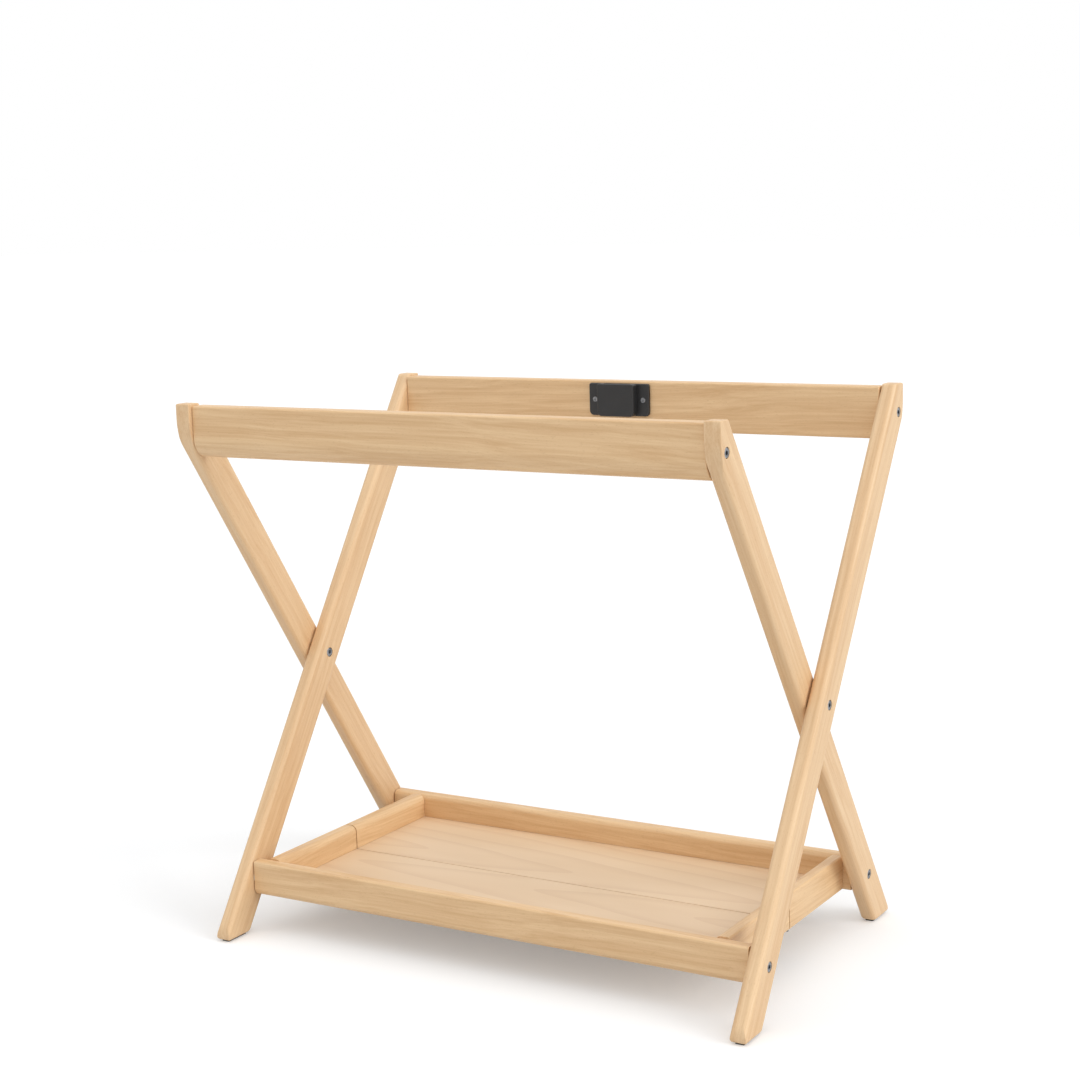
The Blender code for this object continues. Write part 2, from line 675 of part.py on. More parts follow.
def build_frame(frame, letter, top, foot, bolt_reach):
    """A frame, made as frame A. bolt_reach is how far its tray bolts stand out of its legs."""
    for side in (-1, 1):
        where = frame.side_name(side)
        frame.add(f"leg_{letter}_{where}", "leg_wood", leg_mesh(side), [leg_holes(side)])
        frame.add(f"foot_pad_{letter}_{where}", "rubber", foot_pad_mesh(side))
        frame.add(f"top_bolt_{top}_{where}", "zinc_steel", top_bolt_mesh(side))
        frame.add(f"top_insert_{top}_{where}", "zinc_steel", top_insert_mesh(side))
        frame.add(f"rail_dowel_{top}_{where}", "dowel_wood", rail_dowel_mesh(side))
        frame.add(f"tray_bolt_{foot}_{where}", "zinc_steel", pivot_bolt_mesh(side, bolt_reach))
        frame.add(f"tray_washer_{foot}_{where}", "nylon", pivot_washer_mesh(side))
    frame.add(f"top_rail_{top}", "rail_wood", top_rail_mesh(), [top_rail_holes()])
    build_bracket(frame, top)


def build_bracket(frame, top):
    screw_holes = bmesh.new()
    for side in (-1, 1):
        bracket_screw(screw_holes, side, FIT_GAP)
        screw_mesh = bmesh.new()
        bracket_screw(screw_mesh, side)
        frame.add(f"bracket_screw_{top}_{frame.side_name(side)}", "zinc_steel", screw_mesh)
    frame.add(f"cradle_bracket_{top}", "black_plastic", bracket_flange_mesh(),
              [bracket_pocket(), screw_holes], [bracket_block_mesh()])


def build_crossings(frame_a, frame_b):
    """At each crossing a sleeve nut in the leg of frame A, and a bolt in the leg of frame B beside it."""
    for side in (-1, 1):
        where = frame_a.side_name(side)
        nut_face = leg_x(side) - LEG_THICKNESS / 2
        washer_face = leg_x(side) + LEG_THICKNESS / 2
        bolt_face = washer_face + TURNING_GAP + LEG_THICKNESS
        frame_a.add(f"cross_nut_{where}", "zinc_steel", sleeve_nut_mesh(nut_face))
        frame_a.add(f"cross_washer_{where}", "nylon", cross_washer_mesh(washer_face))
        frame_b.add(f"cross_bolt_{where}", "zinc_steel", cross_bolt_mesh(bolt_face))


# Tray, whose back half hangs on frame A. The front half is the same half turned round.

def tray_rail_end(side):
    return inner_face(side) - side * TURNING_GAP


def tray_rail_mesh():
    bm = bmesh.new()
    corners = [(TRAY_INNER_Y, TRAY_CLEARANCE, RAIL_EDGE_RADIUS),
               (TRAY_OUTER_Y, TRAY_CLEARANCE, TRAY_LOWER_EDGE_RADIUS),
               (TRAY_OUTER_Y, TRAY_TOP_Z, RAIL_EDGE_RADIUS),
               (TRAY_INNER_Y, TRAY_TOP_Z, TRAY_INNER_EDGE_RADIUS)]
    extrude_along_x(bm, filleted(corners), tray_rail_end(-1), tray_rail_end(1))
    return bm


def panel_mesh():
    bm = bmesh.new()
    x = END_RAIL_INNER_X + GROOVE_DEPTH - FIT_GAP
    y = TRAY_INNER_Y + GROOVE_DEPTH - FIT_GAP
    box(bm, (-x, SEAM_GAP / 2, PANEL_BOTTOM_Z), (x, y, PANEL_TOP_Z))
    return bm


def panel_grooves():
    """The room that the panel takes with its clearance, cut from the rails around it."""
    bm = bmesh.new()
    x = END_RAIL_INNER_X + GROOVE_DEPTH
    y = TRAY_INNER_Y + GROOVE_DEPTH
    box(bm, (-x, -OVERSHOOT, PANEL_BOTTOM_Z - FIT_GAP), (x, y, PANEL_TOP_Z + FIT_GAP))
    return bm


def tenon(bm, side, grow=0.0):
    """The tenon of an end rail, or with grow its mortise in the tray rail."""
    x = side * END_RAIL_X
    half = TENON_THICKNESS / 2 + grow
    top = TRAY_TOP_Z - TENON_INSET + grow
    box(bm, (x - half, TRAY_INNER_Y - OVERSHOOT, top - TENON_HEIGHT - 2 * grow),
        (x + half, TRAY_INNER_Y + TENON_LENGTH + grow, top))


def tray_rail_holes():
    """Mortises for the end rails, and holes for the threaded inserts."""
    bm = bmesh.new()
    for side in (-1, 1):
        tenon(bm, side, FIT_GAP)
        start = (tray_rail_end(side), PIVOT_Y, PIVOT_Z)
        hole(bm, start, X_AXIS * -side, INSERT_LENGTH + FIT_GAP, INSERT_RADIUS + FIT_GAP)
    return bm


def tray_insert_mesh(side):
    """A threaded insert in the end of the tray rail."""
    bm = bmesh.new()
    start = (tray_rail_end(side), PIVOT_Y, PIVOT_Z)
    tube(bm, start, X_AXIS * -side, INSERT_LENGTH, INSERT_RADIUS, BOLT_HOLE_RADIUS)
    return bm


def end_rail_mesh(side):
    """An end rail's back half, from the seam to the tray rail; side is -1 at the left."""
    bm = bmesh.new()
    outer = side * TRAY_HALF_LENGTH
    inner = side * END_RAIL_INNER_X
    corners = [(inner, TRAY_CLEARANCE, RAIL_EDGE_RADIUS), (outer, TRAY_CLEARANCE, RAIL_EDGE_RADIUS),
               (outer, TRAY_TOP_Z, RAIL_EDGE_RADIUS), (inner, TRAY_TOP_Z, END_RAIL_INNER_RADIUS)]
    extrude_along_y(bm, filleted(corners), SEAM_GAP / 2, TRAY_INNER_Y - FIT_GAP)
    return bm


# Hinges

def hinge_bed(side):
    """Cutter for the bed of a hinge's leaf and the room round its knuckles."""
    bm = bmesh.new()
    room = KNUCKLE_RADIUS + KNUCKLE_CLEARANCE
    depth = LEAF_THICKNESS + FIT_GAP
    length = LEAF_LENGTH + FIT_GAP
    outline = [(-room, HINGE_Z - OVERSHOOT), (length, HINGE_Z - OVERSHOOT), (length, HINGE_Z + depth)]
    outline += arc(0, HINGE_Z, room, math.asin(depth / room), math.pi, 2 * EDGE_STEPS)
    half_width = HINGE_WIDTH / 2 + FIT_GAP
    extrude_along_x(bm, outline, side * END_RAIL_X - half_width, side * END_RAIL_X + half_width)
    return bm


def hinge_leaf_mesh(side):
    """A leaf rolled over at the pin. It lies flush with the tray's underside."""
    bm = bmesh.new()
    rolled = math.tau - KNUCKLE_SLIT
    outline = [(LEAF_LENGTH, HINGE_Z), (LEAF_LENGTH, HINGE_Z + LEAF_THICKNESS)]
    outline += arc(0, HINGE_Z, KNUCKLE_RADIUS, math.asin(LEAF_THICKNESS / KNUCKLE_RADIUS), rolled, SIDES)
    outline += arc(0, HINGE_Z, PIN_HOLE_RADIUS, rolled, 0, SIDES)
    half_width = HINGE_WIDTH / 2
    extrude_along_x(bm, outline, side * END_RAIL_X - half_width, side * END_RAIL_X + half_width)
    return bm


def knuckle_gaps(side, middle_knuckle):
    """Cutter for the stretches of a leaf's roll that the other leaf's knuckles fill."""
    bm = bmesh.new()
    room = KNUCKLE_RADIUS + KNUCKLE_CLEARANCE
    centre = side * END_RAIL_X
    half_knuckle = HINGE_WIDTH / 3 / 2
    if middle_knuckle:
        near = half_knuckle - FIT_GAP / 2
        far = HINGE_WIDTH / 2 + OVERSHOOT
        spans = [(-far, -near), (near, far)]
    else:
        near = half_knuckle + FIT_GAP / 2
        spans = [(-near, near)]
    for low, high in spans:
        box(bm, (centre + low, -room, HINGE_Z - room), (centre + high, room, HINGE_Z + room))
    return bm


def hinge_screws(side, start_z, grow=0.0):
    """The shanks of a leaf's two screws, which are one body with the leaf, or with grow their holes."""
    bm = bmesh.new()
    far = LEAF_LENGTH - HINGE_SCREW_INSET
    for y in (far - HINGE_SCREW_SPACING, far):
        length = HINGE_Z + HINGE_SCREW_LENGTH + grow - start_z
        cylinder(bm, (side * END_RAIL_X, y, start_z), Z_AXIS, length, HINGE_SCREW_RADIUS + grow)
    return bm


def hinge_pin_mesh(side):
    bm = bmesh.new()
    start = (side * END_RAIL_X - HINGE_WIDTH / 2, 0, HINGE_Z)
    cylinder(bm, start, X_AXIS, HINGE_WIDTH, HINGE_PIN_RADIUS)
    return bm


def build_tray_half(half, end):
    """A half of the tray with its hinge leaves. The front leaves hold the middle knuckle."""
    half.add(f"tray_rail_{end}", "rail_wood", tray_rail_mesh(), [panel_grooves(), tray_rail_holes()])
    half.add(f"tray_panel_{end}", "panel_wood", panel_mesh())
    for side in (-1, 1):
        where = half.side_name(side)
        half.add(f"tray_insert_{end}_{where}", "zinc_steel", tray_insert_mesh(side))
        tenon_mesh = bmesh.new()
        tenon(tenon_mesh, side)
        half.add(f"end_rail_{end}_{where}", "rail_wood", end_rail_mesh(side),
                 [panel_grooves(), hinge_bed(side), hinge_screws(side, HINGE_Z - OVERSHOOT, FIT_GAP)],
                 [tenon_mesh])
        half.add(f"hinge_leaf_{end}_{where}", "zinc_steel", hinge_leaf_mesh(side),
                 [knuckle_gaps(side, half.turned)], [hinge_screws(side, HINGE_Z + LEAF_THICKNESS / 2)])


def main():
    clear_scene()
    axes = make_axes()
    frame_a = Body("frame_a", axes)
    frame_b = Body("frame_b", axes, turned=True)
    tray_back = Body("tray_back", axes)
    tray_front = Body("tray_front", axes, turned=True)
    reach_into_insert = TURNING_GAP + INSERT_LENGTH - BOLT_SHORT_OF_INSERT
    reach_to_rail = TURNING_GAP - FIT_GAP
    build_frame(frame_a, "a", "front", "back", reach_into_insert)
    build_frame(frame_b, "b", "back", "front", reach_to_rail)
    build_crossings(frame_a, Body("frame_b", axes))
    build_tray_half(tray_back, "back")
    build_tray_half(tray_front, "front")
    for side in (-1, 1):
        tray_back.add(f"hinge_pin_{tray_back.side_name(side)}", "zinc_steel", hinge_pin_mesh(side))


main()
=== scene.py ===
"""Looks of the folding wooden bassinet stand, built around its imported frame.

Metres, +Z up, -Y to the front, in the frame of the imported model. Every piece that shows is made again
as a finer mesh in its node's place. Wooden pieces have their own local frame with X along the grain,
so each material's grain runs along its piece. The pieces hidden inside the wood keep their solids.
"""
import json
import math

import bmesh
import bpy
from mathutils import Euler, Matrix, Vector


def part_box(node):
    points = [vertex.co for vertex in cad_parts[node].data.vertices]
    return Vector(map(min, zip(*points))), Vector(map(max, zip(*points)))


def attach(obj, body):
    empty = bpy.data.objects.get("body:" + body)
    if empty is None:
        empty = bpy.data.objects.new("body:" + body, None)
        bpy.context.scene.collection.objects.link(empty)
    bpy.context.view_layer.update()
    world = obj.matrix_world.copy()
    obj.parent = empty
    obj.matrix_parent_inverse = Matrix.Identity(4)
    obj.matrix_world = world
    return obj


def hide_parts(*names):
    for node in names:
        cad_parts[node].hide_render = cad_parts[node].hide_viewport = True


# Camera, fitted to the photograph's edges, and the light
CAMERA_PLACE = (1.3463, -2.2452, 0.9452)
CAMERA_TURN = (80.785, 1.611, 30.799)
CAMERA_LENS = 68.63
CAMERA_SENSOR = 36.0

SKY_ANGLES = (20.0, 10.0)
SKY_SPREAD = 100.0
SKY_POWER = 1.45
KEY_ANGLES = (65.0, 92.0)
KEY_SPREAD = 35.0
KEY_POWER = 1.2
WORLD_LIGHT = 0.45
FLOOR_HALF = 40.0
FLOOR_COLOUR = (0.79, 0.8, 0.81, 1.0)
FLOOR_LIFT = 0.24

# Legs: the rest of their size comes from the frame
LEG_WIDTH = 0.046
LEG_EDGE_RADIUS = 0.0065
NOSE_HEIGHT = 0.0467
NOSE_FLAT = 0.018
LEG_BACK_RADIUS = 0.008
LEG_TOE_RADIUS = 0.032
LEG_TOP_ROUND = 0.002
LEG_FOOT_ROUND = 0.004
CRISP_ROUND = 0.0009
PAD_INSET = 0.0008

# Rails and tray
RAIL_EDGE_RADIUS = 0.003
TOP_RAIL_CURVE_HEIGHT = 0.015
TOP_RAIL_CURVE_DEPTH = 0.013
TOP_RAIL_FACE_RADIUS = 0.030
TOP_RAIL_LOWER_RADIUS = 0.020
TOP_RAIL_END_ROUND = 0.0012
TRAY_LOWER_EDGE_RADIUS = 0.008
TRAY_INNER_EDGE_RADIUS = 0.007
END_RAIL_INNER_RADIUS = 0.009
FIT_GAP = 0.0003
END_BREAK = 0.0004
SEAM_RELIEF = 0.0005
BUTTED_BREAK = 0.0001

# Fasteners
BOLT_RADIUS = 0.003
BOLT_HEAD_RADIUS = 0.00625
BOLT_HEAD_HEIGHT = 0.004
BOLT_HEAD_RECESS = 0.0005
HEAD_EDGE_RADIUS = 0.0009
SOCKET_ACROSS_FLATS = 0.005
SOCKET_DEPTH = 0.0024
SOCKET_CHAMFER = 0.0003
SLEEVE_WALL = 0.0012
RIM_CHAMFER = 0.0003
SLOT_WIDTH = 0.0013
SLOT_DEPTH = 0.0014
SCREW_RIM_HEIGHT = 0.00015
SCREW_RIM_INSET = 0.0001

# Hinges and brackets
HINGE_SCREW_INSET = 0.0065
HINGE_SCREW_SPACING = 0.011
HINGE_SCREW_HEAD_RADIUS = 0.0027
HINGE_SCREW_RADIUS = 0.001
HINGE_SCREW_LENGTH = 0.003
COUNTERSINK_LIP = 0.0001
COUNTERSINK_DEPTH = 0.002
LEAF_THICKNESS = 0.0015
LEAF_CORNER = 0.003
HINGE_PIN_RADIUS = 0.001
KNUCKLE_SLIT = math.radians(15)
BRACKET_WIDTH = 0.056
BRACKET_CORNER = 0.006
FLANGE_THICKNESS = 0.004
POCKET_END_WALL = 0.008
POCKET_SIDE_WALL = 0.004
POCKET_FLOOR = 0.010
POCKET_CORNER = 0.0015
POCKET_LEAD_IN = 0.002
BRACKET_SCREW_RADIUS = 0.0018
BRACKET_SCREW_HEAD_RADIUS = 0.0036
BRACKET_EDGE = 0.0012
BRACKET_BACK_EDGE = 0.0002
CROSS_RECESS_LENGTH = 0.0042
CROSS_RECESS_WIDTH = 0.0008
CROSS_RECESS_DEPTH = 0.0014
CROSS_RECESS_FLARE = 1.2
CROSS_RECESS_TIP = 0.35

# Wood: how fine each layer is along and across the grain, and its share of the tone
SEED_SHIFT = (1.7, 3.1, 5.3)
WANDER_GRAIN = (3, 12, 12)
BAND_GRAIN = (2.5, 110, 110)
STREAK_GRAIN = (9, 420, 420)
FIBRE_GRAIN = (60, 1500, 1500)
FLECK_GRAIN = (220, 1300, 1300)
GRAIN_WANDER = 0.02
STREAK_SHARE = 0.26
FIBRE_SHARE = 0.14
FLECK_SHARE = 0.22
BAND_RANGE = (0.3, 0.72)
STREAK_RANGE = (0.3, 0.7)
FLECK_RANGE = (0.62, 0.74)
STREAK_HEIGHT = 0.5
WOOD_RELIEF = 0.00003
WOOD_ROUGHNESS = (0.43, 0.52)

# The panel's loops: where their middle lies, their form and spacing, and their strength
LOOP_SHIFT = 0.045
LOOP_BLUNTNESS = 0.0001
LOOP_SLOPE = 8.0
LOOP_GRAIN = (2.5, 14, 14)
LOOP_WANDER = 0.3
LOOP_SPACING = 0.27
LOOP_START = 0.6
LOOP_PEAK = 0.985
LOOP_SHARE = 0.2

# The rest of the panel's veneer
PATCH_GRAIN = (3, 12, 12)
PATCH_SHIFT = (7, 3, 1)
PATCH_RANGE = (0.35, 0.7)
PATCH_SHARE = 0.35
VENEER_GRAIN = (12, 500, 500)
VENEER_SHARE = 0.2
VENEER_RELIEF = 0.00002

# Dry wood, metal, plastic and rubber
DOWEL_GRAIN = (40, 900, 900)
DOWEL_RELIEF = 0.0001
TARNISH_GRAIN = (260, 260, 260)
TARNISH_RANGE = (0.35, 0.7)
SCRATCH_GRAIN = (300, 4000, 4000)
SCRATCH_RANGE = (0.3, 0.7)
SCRATCH_RELIEF = 0.00001
ZINC_ROUGHNESS = (0.26, 0.42)
MOULD_CLOUDS = (60, 60, 60)
MOULD_RANGE = (0.2, 0.8)
MOULD_UNEVENNESS = 0.06

# Facets of round shapes, and how far a cut runs past the face it enters
ROUND_SIDES = 48
FILLET_STEPS = 8
NOSE_STEPS = 28
END_STEPS = 3
FILLET_SHARE = 0.96
CORNER_MARGIN = 1.0
MITRE_LIMIT = 0.3
SHARP_ANGLE = math.radians(38)
WELD_DISTANCE = 2e-6
OVERSHOOT = 0.003

X_AXIS = Vector((1, 0, 0))
Y_AXIS = Vector((0, 1, 0))
Z_AXIS = Vector((0, 0, 1))

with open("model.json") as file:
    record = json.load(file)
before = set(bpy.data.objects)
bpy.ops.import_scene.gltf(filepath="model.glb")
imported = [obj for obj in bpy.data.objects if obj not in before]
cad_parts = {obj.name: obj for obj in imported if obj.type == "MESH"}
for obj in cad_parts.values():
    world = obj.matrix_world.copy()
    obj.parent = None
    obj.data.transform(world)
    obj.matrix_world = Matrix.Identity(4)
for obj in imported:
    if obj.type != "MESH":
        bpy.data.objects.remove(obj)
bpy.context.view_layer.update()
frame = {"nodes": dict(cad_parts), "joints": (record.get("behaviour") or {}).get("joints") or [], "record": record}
joint_places = {joint["name"]: Vector(joint["pos_m"]) for joint in frame["joints"]}
BODY_OF = {node: body for body, nodes in frame["record"]["behaviour"]["bodies"].items() for node in nodes}

# Places taken from the frame
CROSSING_Z = joint_places["frame_fold"].z
PIVOT_Y = joint_places["tray_back_tilt"].y
PIVOT_Z = joint_places["tray_back_tilt"].z
HINGE_Z = joint_places["tray_front_tilt"].z
SLOPE = PIVOT_Y / (CROSSING_Z - PIVOT_Z)
LEG_ANGLE = math.atan(SLOPE)
LEG_LOW, LEG_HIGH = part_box("leg_a_left")
LEG_THICKNESS = LEG_HIGH.x - LEG_LOW.x
LEG_HALF_SPAN = LEG_WIDTH / 2 / math.cos(LEG_ANGLE)
FOOT_Z = LEG_LOW.z
STAND_HEIGHT = LEG_HIGH.z
TOE_CENTRE_Z = FOOT_Z + LEG_FOOT_ROUND
TOE_TOP_Z = TOE_CENTRE_Z + LEG_TOE_RADIUS * math.sin(LEG_ANGLE)
NOSE_CORNER_Z = STAND_HEIGHT - NOSE_HEIGHT
NOSE_REACH = (NOSE_CORNER_Z - CROSSING_Z) * SLOPE + LEG_HALF_SPAN
NOSE_TANGENT = NOSE_HEIGHT - NOSE_FLAT
NOSE_RADIUS = NOSE_TANGENT / math.tan(LEG_ANGLE / 2)
NOSE_TOP_Z = NOSE_CORNER_Z + NOSE_TANGENT
NOSE_LOW_Z = NOSE_CORNER_Z - NOSE_TANGENT * math.cos(LEG_ANGLE)
BACK_CENTRE_Z = STAND_HEIGHT - LEG_BACK_RADIUS
BACK_LOW_Z = BACK_CENTRE_Z + LEG_BACK_RADIUS * math.sin(LEG_ANGLE)
TOP_BOLT_Y, TOP_BOLT_Z = (sum(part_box("top_bolt_front_left"), Vector()) / 2).yz
COUNTERBORE_DEPTH = BOLT_HEAD_RECESS + BOLT_HEAD_HEIGHT + FIT_GAP
BOLT_HOLE_RADIUS = BOLT_RADIUS + FIT_GAP
SLEEVE_RADIUS = BOLT_HOLE_RADIUS + SLEEVE_WALL
PIN_HOLE_RADIUS = HINGE_PIN_RADIUS + FIT_GAP
KNUCKLE_RADIUS = PIN_HOLE_RADIUS + LEAF_THICKNESS
KNUCKLE_ROOM = KNUCKLE_RADIUS + 2 * FIT_GAP


# Materials

def srgb(red, green, blue):
    """A colour as it shows on a screen, from 0 to 255, turned into the linear values of a shader."""
    linear = []
    for value in (red, green, blue):
        share = value / 255
        linear.append(share / 12.92 if share <= 0.04045 else ((share + 0.055) / 1.055) ** 2.4)
    return (*linear, 1.0)


class Shader:
    """A material that is built up from nodes."""

    def __init__(self, name, roughness=0.5, metallic=0.0):
        self.material = bpy.data.materials.new(name)
        self.material.use_nodes = True
        self.tree = self.material.node_tree
        self.surface = self.tree.nodes["Principled BSDF"]
        self.surface.inputs["Roughness"].default_value = roughness
        self.surface.inputs["Metallic"].default_value = metallic
        self.place = self.node("ShaderNodeTexCoord").outputs["Object"]

    def node(self, kind):
        return self.tree.nodes.new(kind)

    def set(self, socket, value):
        """Links a socket to another, or gives it a value."""
        if isinstance(value, bpy.types.NodeSocket):
            self.tree.links.new(value, socket)
        else:
            socket.default_value = value

    def math(self, operation, *values):
        node = self.node("ShaderNodeMath")
        node.operation = operation
        for socket, value in zip(node.inputs, values):
            self.set(socket, value)
        return node.outputs[0]

    def axes(self):
        """The coordinates along each axis by itself."""
        node = self.node("ShaderNodeSeparateXYZ")
        self.set(node.inputs[0], self.place)
        return node.outputs

    def stretched(self, scale, offset=(0.0, 0.0, 0.0)):
        """The piece's own coordinates, scaled by axis and shifted."""
        node = self.node("ShaderNodeMapping")
        self.set(node.inputs["Vector"], self.place)
        node.inputs["Scale"].default_value = scale
        node.inputs["Location"].default_value = offset
        return node.outputs["Vector"]

    def turn(self, slant):
        """Turns the coordinates that later nodes use about local Y."""
        node = self.node("ShaderNodeMapping")
        self.set(node.inputs["Vector"], self.place)
        node.inputs["Rotation"].default_value = (0.0, -slant, 0.0)
        self.place = node.outputs["Vector"]

    def noise(self, scale, offset=(0.0, 0.0, 0.0), detail=2.0, roughness=0.5):
        node = self.node("ShaderNodeTexNoise")
        self.set(node.inputs["Vector"], self.stretched(scale, offset))
        node.inputs["Scale"].default_value = 1.0
        node.inputs["Detail"].default_value = detail
        node.inputs["Roughness"].default_value = roughness
        return node.outputs["Fac"]

    def spread(self, value, low, high, to_low=0.0, to_high=1.0):
        """Maps a value from one range to another, and holds it there."""
        node = self.node("ShaderNodeMapRange")
        node.interpolation_type = "SMOOTHSTEP"
        for socket, number in zip(node.inputs, (value, low, high, to_low, to_high)):
            self.set(socket, number)
        return node.outputs[0]

    def blend(self, share, first, second):
        """A colour between two others."""
        node = self.node("ShaderNodeMix")
        node.data_type = "RGBA"
        for number, value in ((0, share), (6, first), (7, second)):
            self.set(node.inputs[number], value)
        return node.outputs[2]

    def bump(self, height, distance):
        node = self.node("ShaderNodeBump")
        node.inputs["Distance"].default_value = distance
        self.set(node.inputs["Height"], height)
        self.set(self.surface.inputs["Normal"], node.outputs["Normal"])

    def colour(self, value):
        self.set(self.surface.inputs["Base Color"], value)


PALE = srgb(238, 204, 159)
HONEY = srgb(208, 165, 116)
BROWN = srgb(172, 126, 82)


def wood(name, seed, light=PALE, dark=HONEY, lean=0.03, bands=0.5, slant=0.0):
    """Beech with its grain along local X, or at a slant to it: soft bands, streaks and fine flecks."""
    shader = Shader(name, roughness=0.48)
    shader.turn(slant)
    offset = tuple(seed * shift for shift in SEED_SHIFT)
    x, y, z = shader.axes()
    wander = shader.noise(WANDER_GRAIN, offset)
    drift = shader.math("MULTIPLY_ADD", wander, GRAIN_WANDER, shader.math("MULTIPLY", x, lean))
    grain = shader.node("ShaderNodeCombineXYZ")
    for socket, value in zip(grain.inputs, (x, shader.math("ADD", y, drift), shader.math("ADD", z, drift))):
        shader.set(socket, value)
    shader.place = grain.outputs[0]
    broad = shader.spread(shader.noise(BAND_GRAIN, offset, detail=3, roughness=0.55), *BAND_RANGE)
    streaks = shader.spread(shader.noise(STREAK_GRAIN, offset, detail=3, roughness=0.6), *STREAK_RANGE)
    fibres = shader.noise(FIBRE_GRAIN, offset, detail=2)
    tone = shader.math("MULTIPLY", broad, bands)
    for part, share in ((streaks, STREAK_SHARE), (fibres, FIBRE_SHARE)):
        tone = shader.math("MULTIPLY_ADD", part, share, tone)
    flecks = shader.spread(shader.noise(FLECK_GRAIN, offset, detail=1), *FLECK_RANGE)
    plain = shader.blend(tone, light, dark)
    shader.colour(shader.blend(shader.math("MULTIPLY", flecks, FLECK_SHARE), plain, BROWN))
    shader.set(shader.surface.inputs["Roughness"], shader.spread(streaks, 0.0, 1.0, *WOOD_ROUGHNESS))
    height = shader.math("SUBTRACT", shader.math("MULTIPLY", streaks, STREAK_HEIGHT), flecks)
    shader.bump(height, WOOD_RELIEF)
    return shader.material


def veneer(name):
    """The tray panel's pale veneer, whose thin darker lines run into long loops with tips to the right."""
    shader = Shader(name, roughness=0.46)
    light, dark, line = srgb(232, 205, 172), srgb(218, 186, 148), srgb(196, 156, 118)
    x, y, _ = shader.axes()
    beside = shader.math("ADD", y, LOOP_SHIFT)
    bend = shader.math("SQRT", shader.math("MULTIPLY_ADD", beside, beside, LOOP_BLUNTNESS))
    loops = shader.math("MULTIPLY_ADD", bend, LOOP_SLOPE, x)
    loops = shader.math("MULTIPLY_ADD", shader.noise(LOOP_GRAIN, detail=1), LOOP_WANDER, loops)
    ring = shader.math("FRACT", shader.math("DIVIDE", loops, LOOP_SPACING))
    rise = shader.spread(ring, LOOP_START, LOOP_PEAK)
    lines = shader.math("MULTIPLY", rise, shader.spread(ring, 1.0, LOOP_PEAK))
    patches = shader.spread(shader.noise(PATCH_GRAIN, PATCH_SHIFT, detail=3), *PATCH_RANGE)
    fibres = shader.noise(VENEER_GRAIN, detail=4, roughness=0.6)
    tone = shader.math("MULTIPLY_ADD", fibres, VENEER_SHARE, shader.math("MULTIPLY", patches, PATCH_SHARE))
    plain = shader.blend(tone, light, dark)
    shader.colour(shader.blend(shader.math("MULTIPLY", lines, LOOP_SHARE), plain, line))
    shader.bump(fibres, VENEER_RELIEF)
    return shader.material


def dry_wood():
    """The unfinished wood of the dowels."""
    shader = Shader("dowel_wood", roughness=0.7)
    fibres = shader.noise(DOWEL_GRAIN, detail=3)
    shader.colour(shader.blend(fibres, srgb(214, 180, 138), srgb(182, 142, 98)))
    shader.bump(fibres, DOWEL_RELIEF)
    return shader.material


def zinc(name):
    """Zinc-plated steel with a faint cloudy tarnish and fine scratches."""
    shader = Shader(name, roughness=0.34, metallic=1.0)
    clouds = shader.noise(TARNISH_GRAIN, detail=4)
    scratches = shader.noise(SCRATCH_GRAIN, detail=2)
    bright, dull = srgb(150, 152, 156), srgb(104, 106, 110)
    shader.colour(shader.blend(shader.spread(clouds, *TARNISH_RANGE), bright, dull))
    shader.set(shader.surface.inputs["Roughness"], shader.spread(scratches, *SCRATCH_RANGE, *ZINC_ROUGHNESS))
    shader.bump(scratches, SCRATCH_RELIEF)
    return shader.material


def moulded(name, first, second, roughness, grain, depth):
    """Plastic or rubber with the fine grain of its mould."""
    shader = Shader(name, roughness=roughness)
    grains = shader.noise((grain, grain, grain), detail=3)
    clouds = shader.noise(MOULD_CLOUDS, detail=2)
    shader.colour(shader.blend(clouds, first, second))
    smooth, rough = roughness - MOULD_UNEVENNESS, roughness + MOULD_UNEVENNESS
    shader.set(shader.surface.inputs["Roughness"], shader.spread(grains, *MOULD_RANGE, smooth, rough))
    shader.bump(grains, depth)
    return shader.material


# Meshes

def loft(bm, rings, closed=False):
    """Joins rings of points, all of one count, and caps both ends unless the rings close on themselves."""
    rows = [[bm.verts.new(point) for point in ring] for ring in rings]
    count = len(rings[0])
    pairs = list(zip(rows, rows[1:]))
    if closed:
        pairs.append((rows[-1], rows[0]))
    for lower, upper in pairs:
        for i in range(count):
            j = (i + 1) % count
            bm.faces.new((lower[i], lower[j], upper[j], upper[i]))
    if not closed:
        bm.faces.new(rows[0])
        bm.faces.new(rows[-1])


def revolve(start, direction, profile, closed=False, hexagonal=()):
    """Turns (distance, radius) steps about a line. Steps numbered in hexagonal are six-sided."""
    bm = bmesh.new()
    axis = Vector(direction).normalized()
    side = X_AXIS if abs(axis.x) < 0.5 else Z_AXIS
    up = axis.cross(side)
    rings = []
    for number, (distance, radius) in enumerate(profile):
        ring = []
        for k in range(ROUND_SIDES):
            angle = math.tau * k / ROUND_SIDES
            reach = radius
            if number in hexagonal:
                reach = radius / math.cos(angle % (math.pi / 3) - math.pi / 6)
            spoke = side * math.cos(angle) + up * math.sin(angle)
            ring.append(Vector(start) + axis * distance + spoke * reach)
        rings.append(ring)
    loft(bm, rings, closed)
    return bm


def box(low, high):
    """A box between two opposite corners."""
    bm = bmesh.new()
    size = [b - a for a, b in zip(low, high)]
    centre = [(a + b) / 2 for a, b in zip(low, high)]
    bmesh.ops.create_cube(bm, size=1.0, matrix=Matrix.Translation(centre) @ Matrix.Diagonal((*size, 1.0)))
    return bm


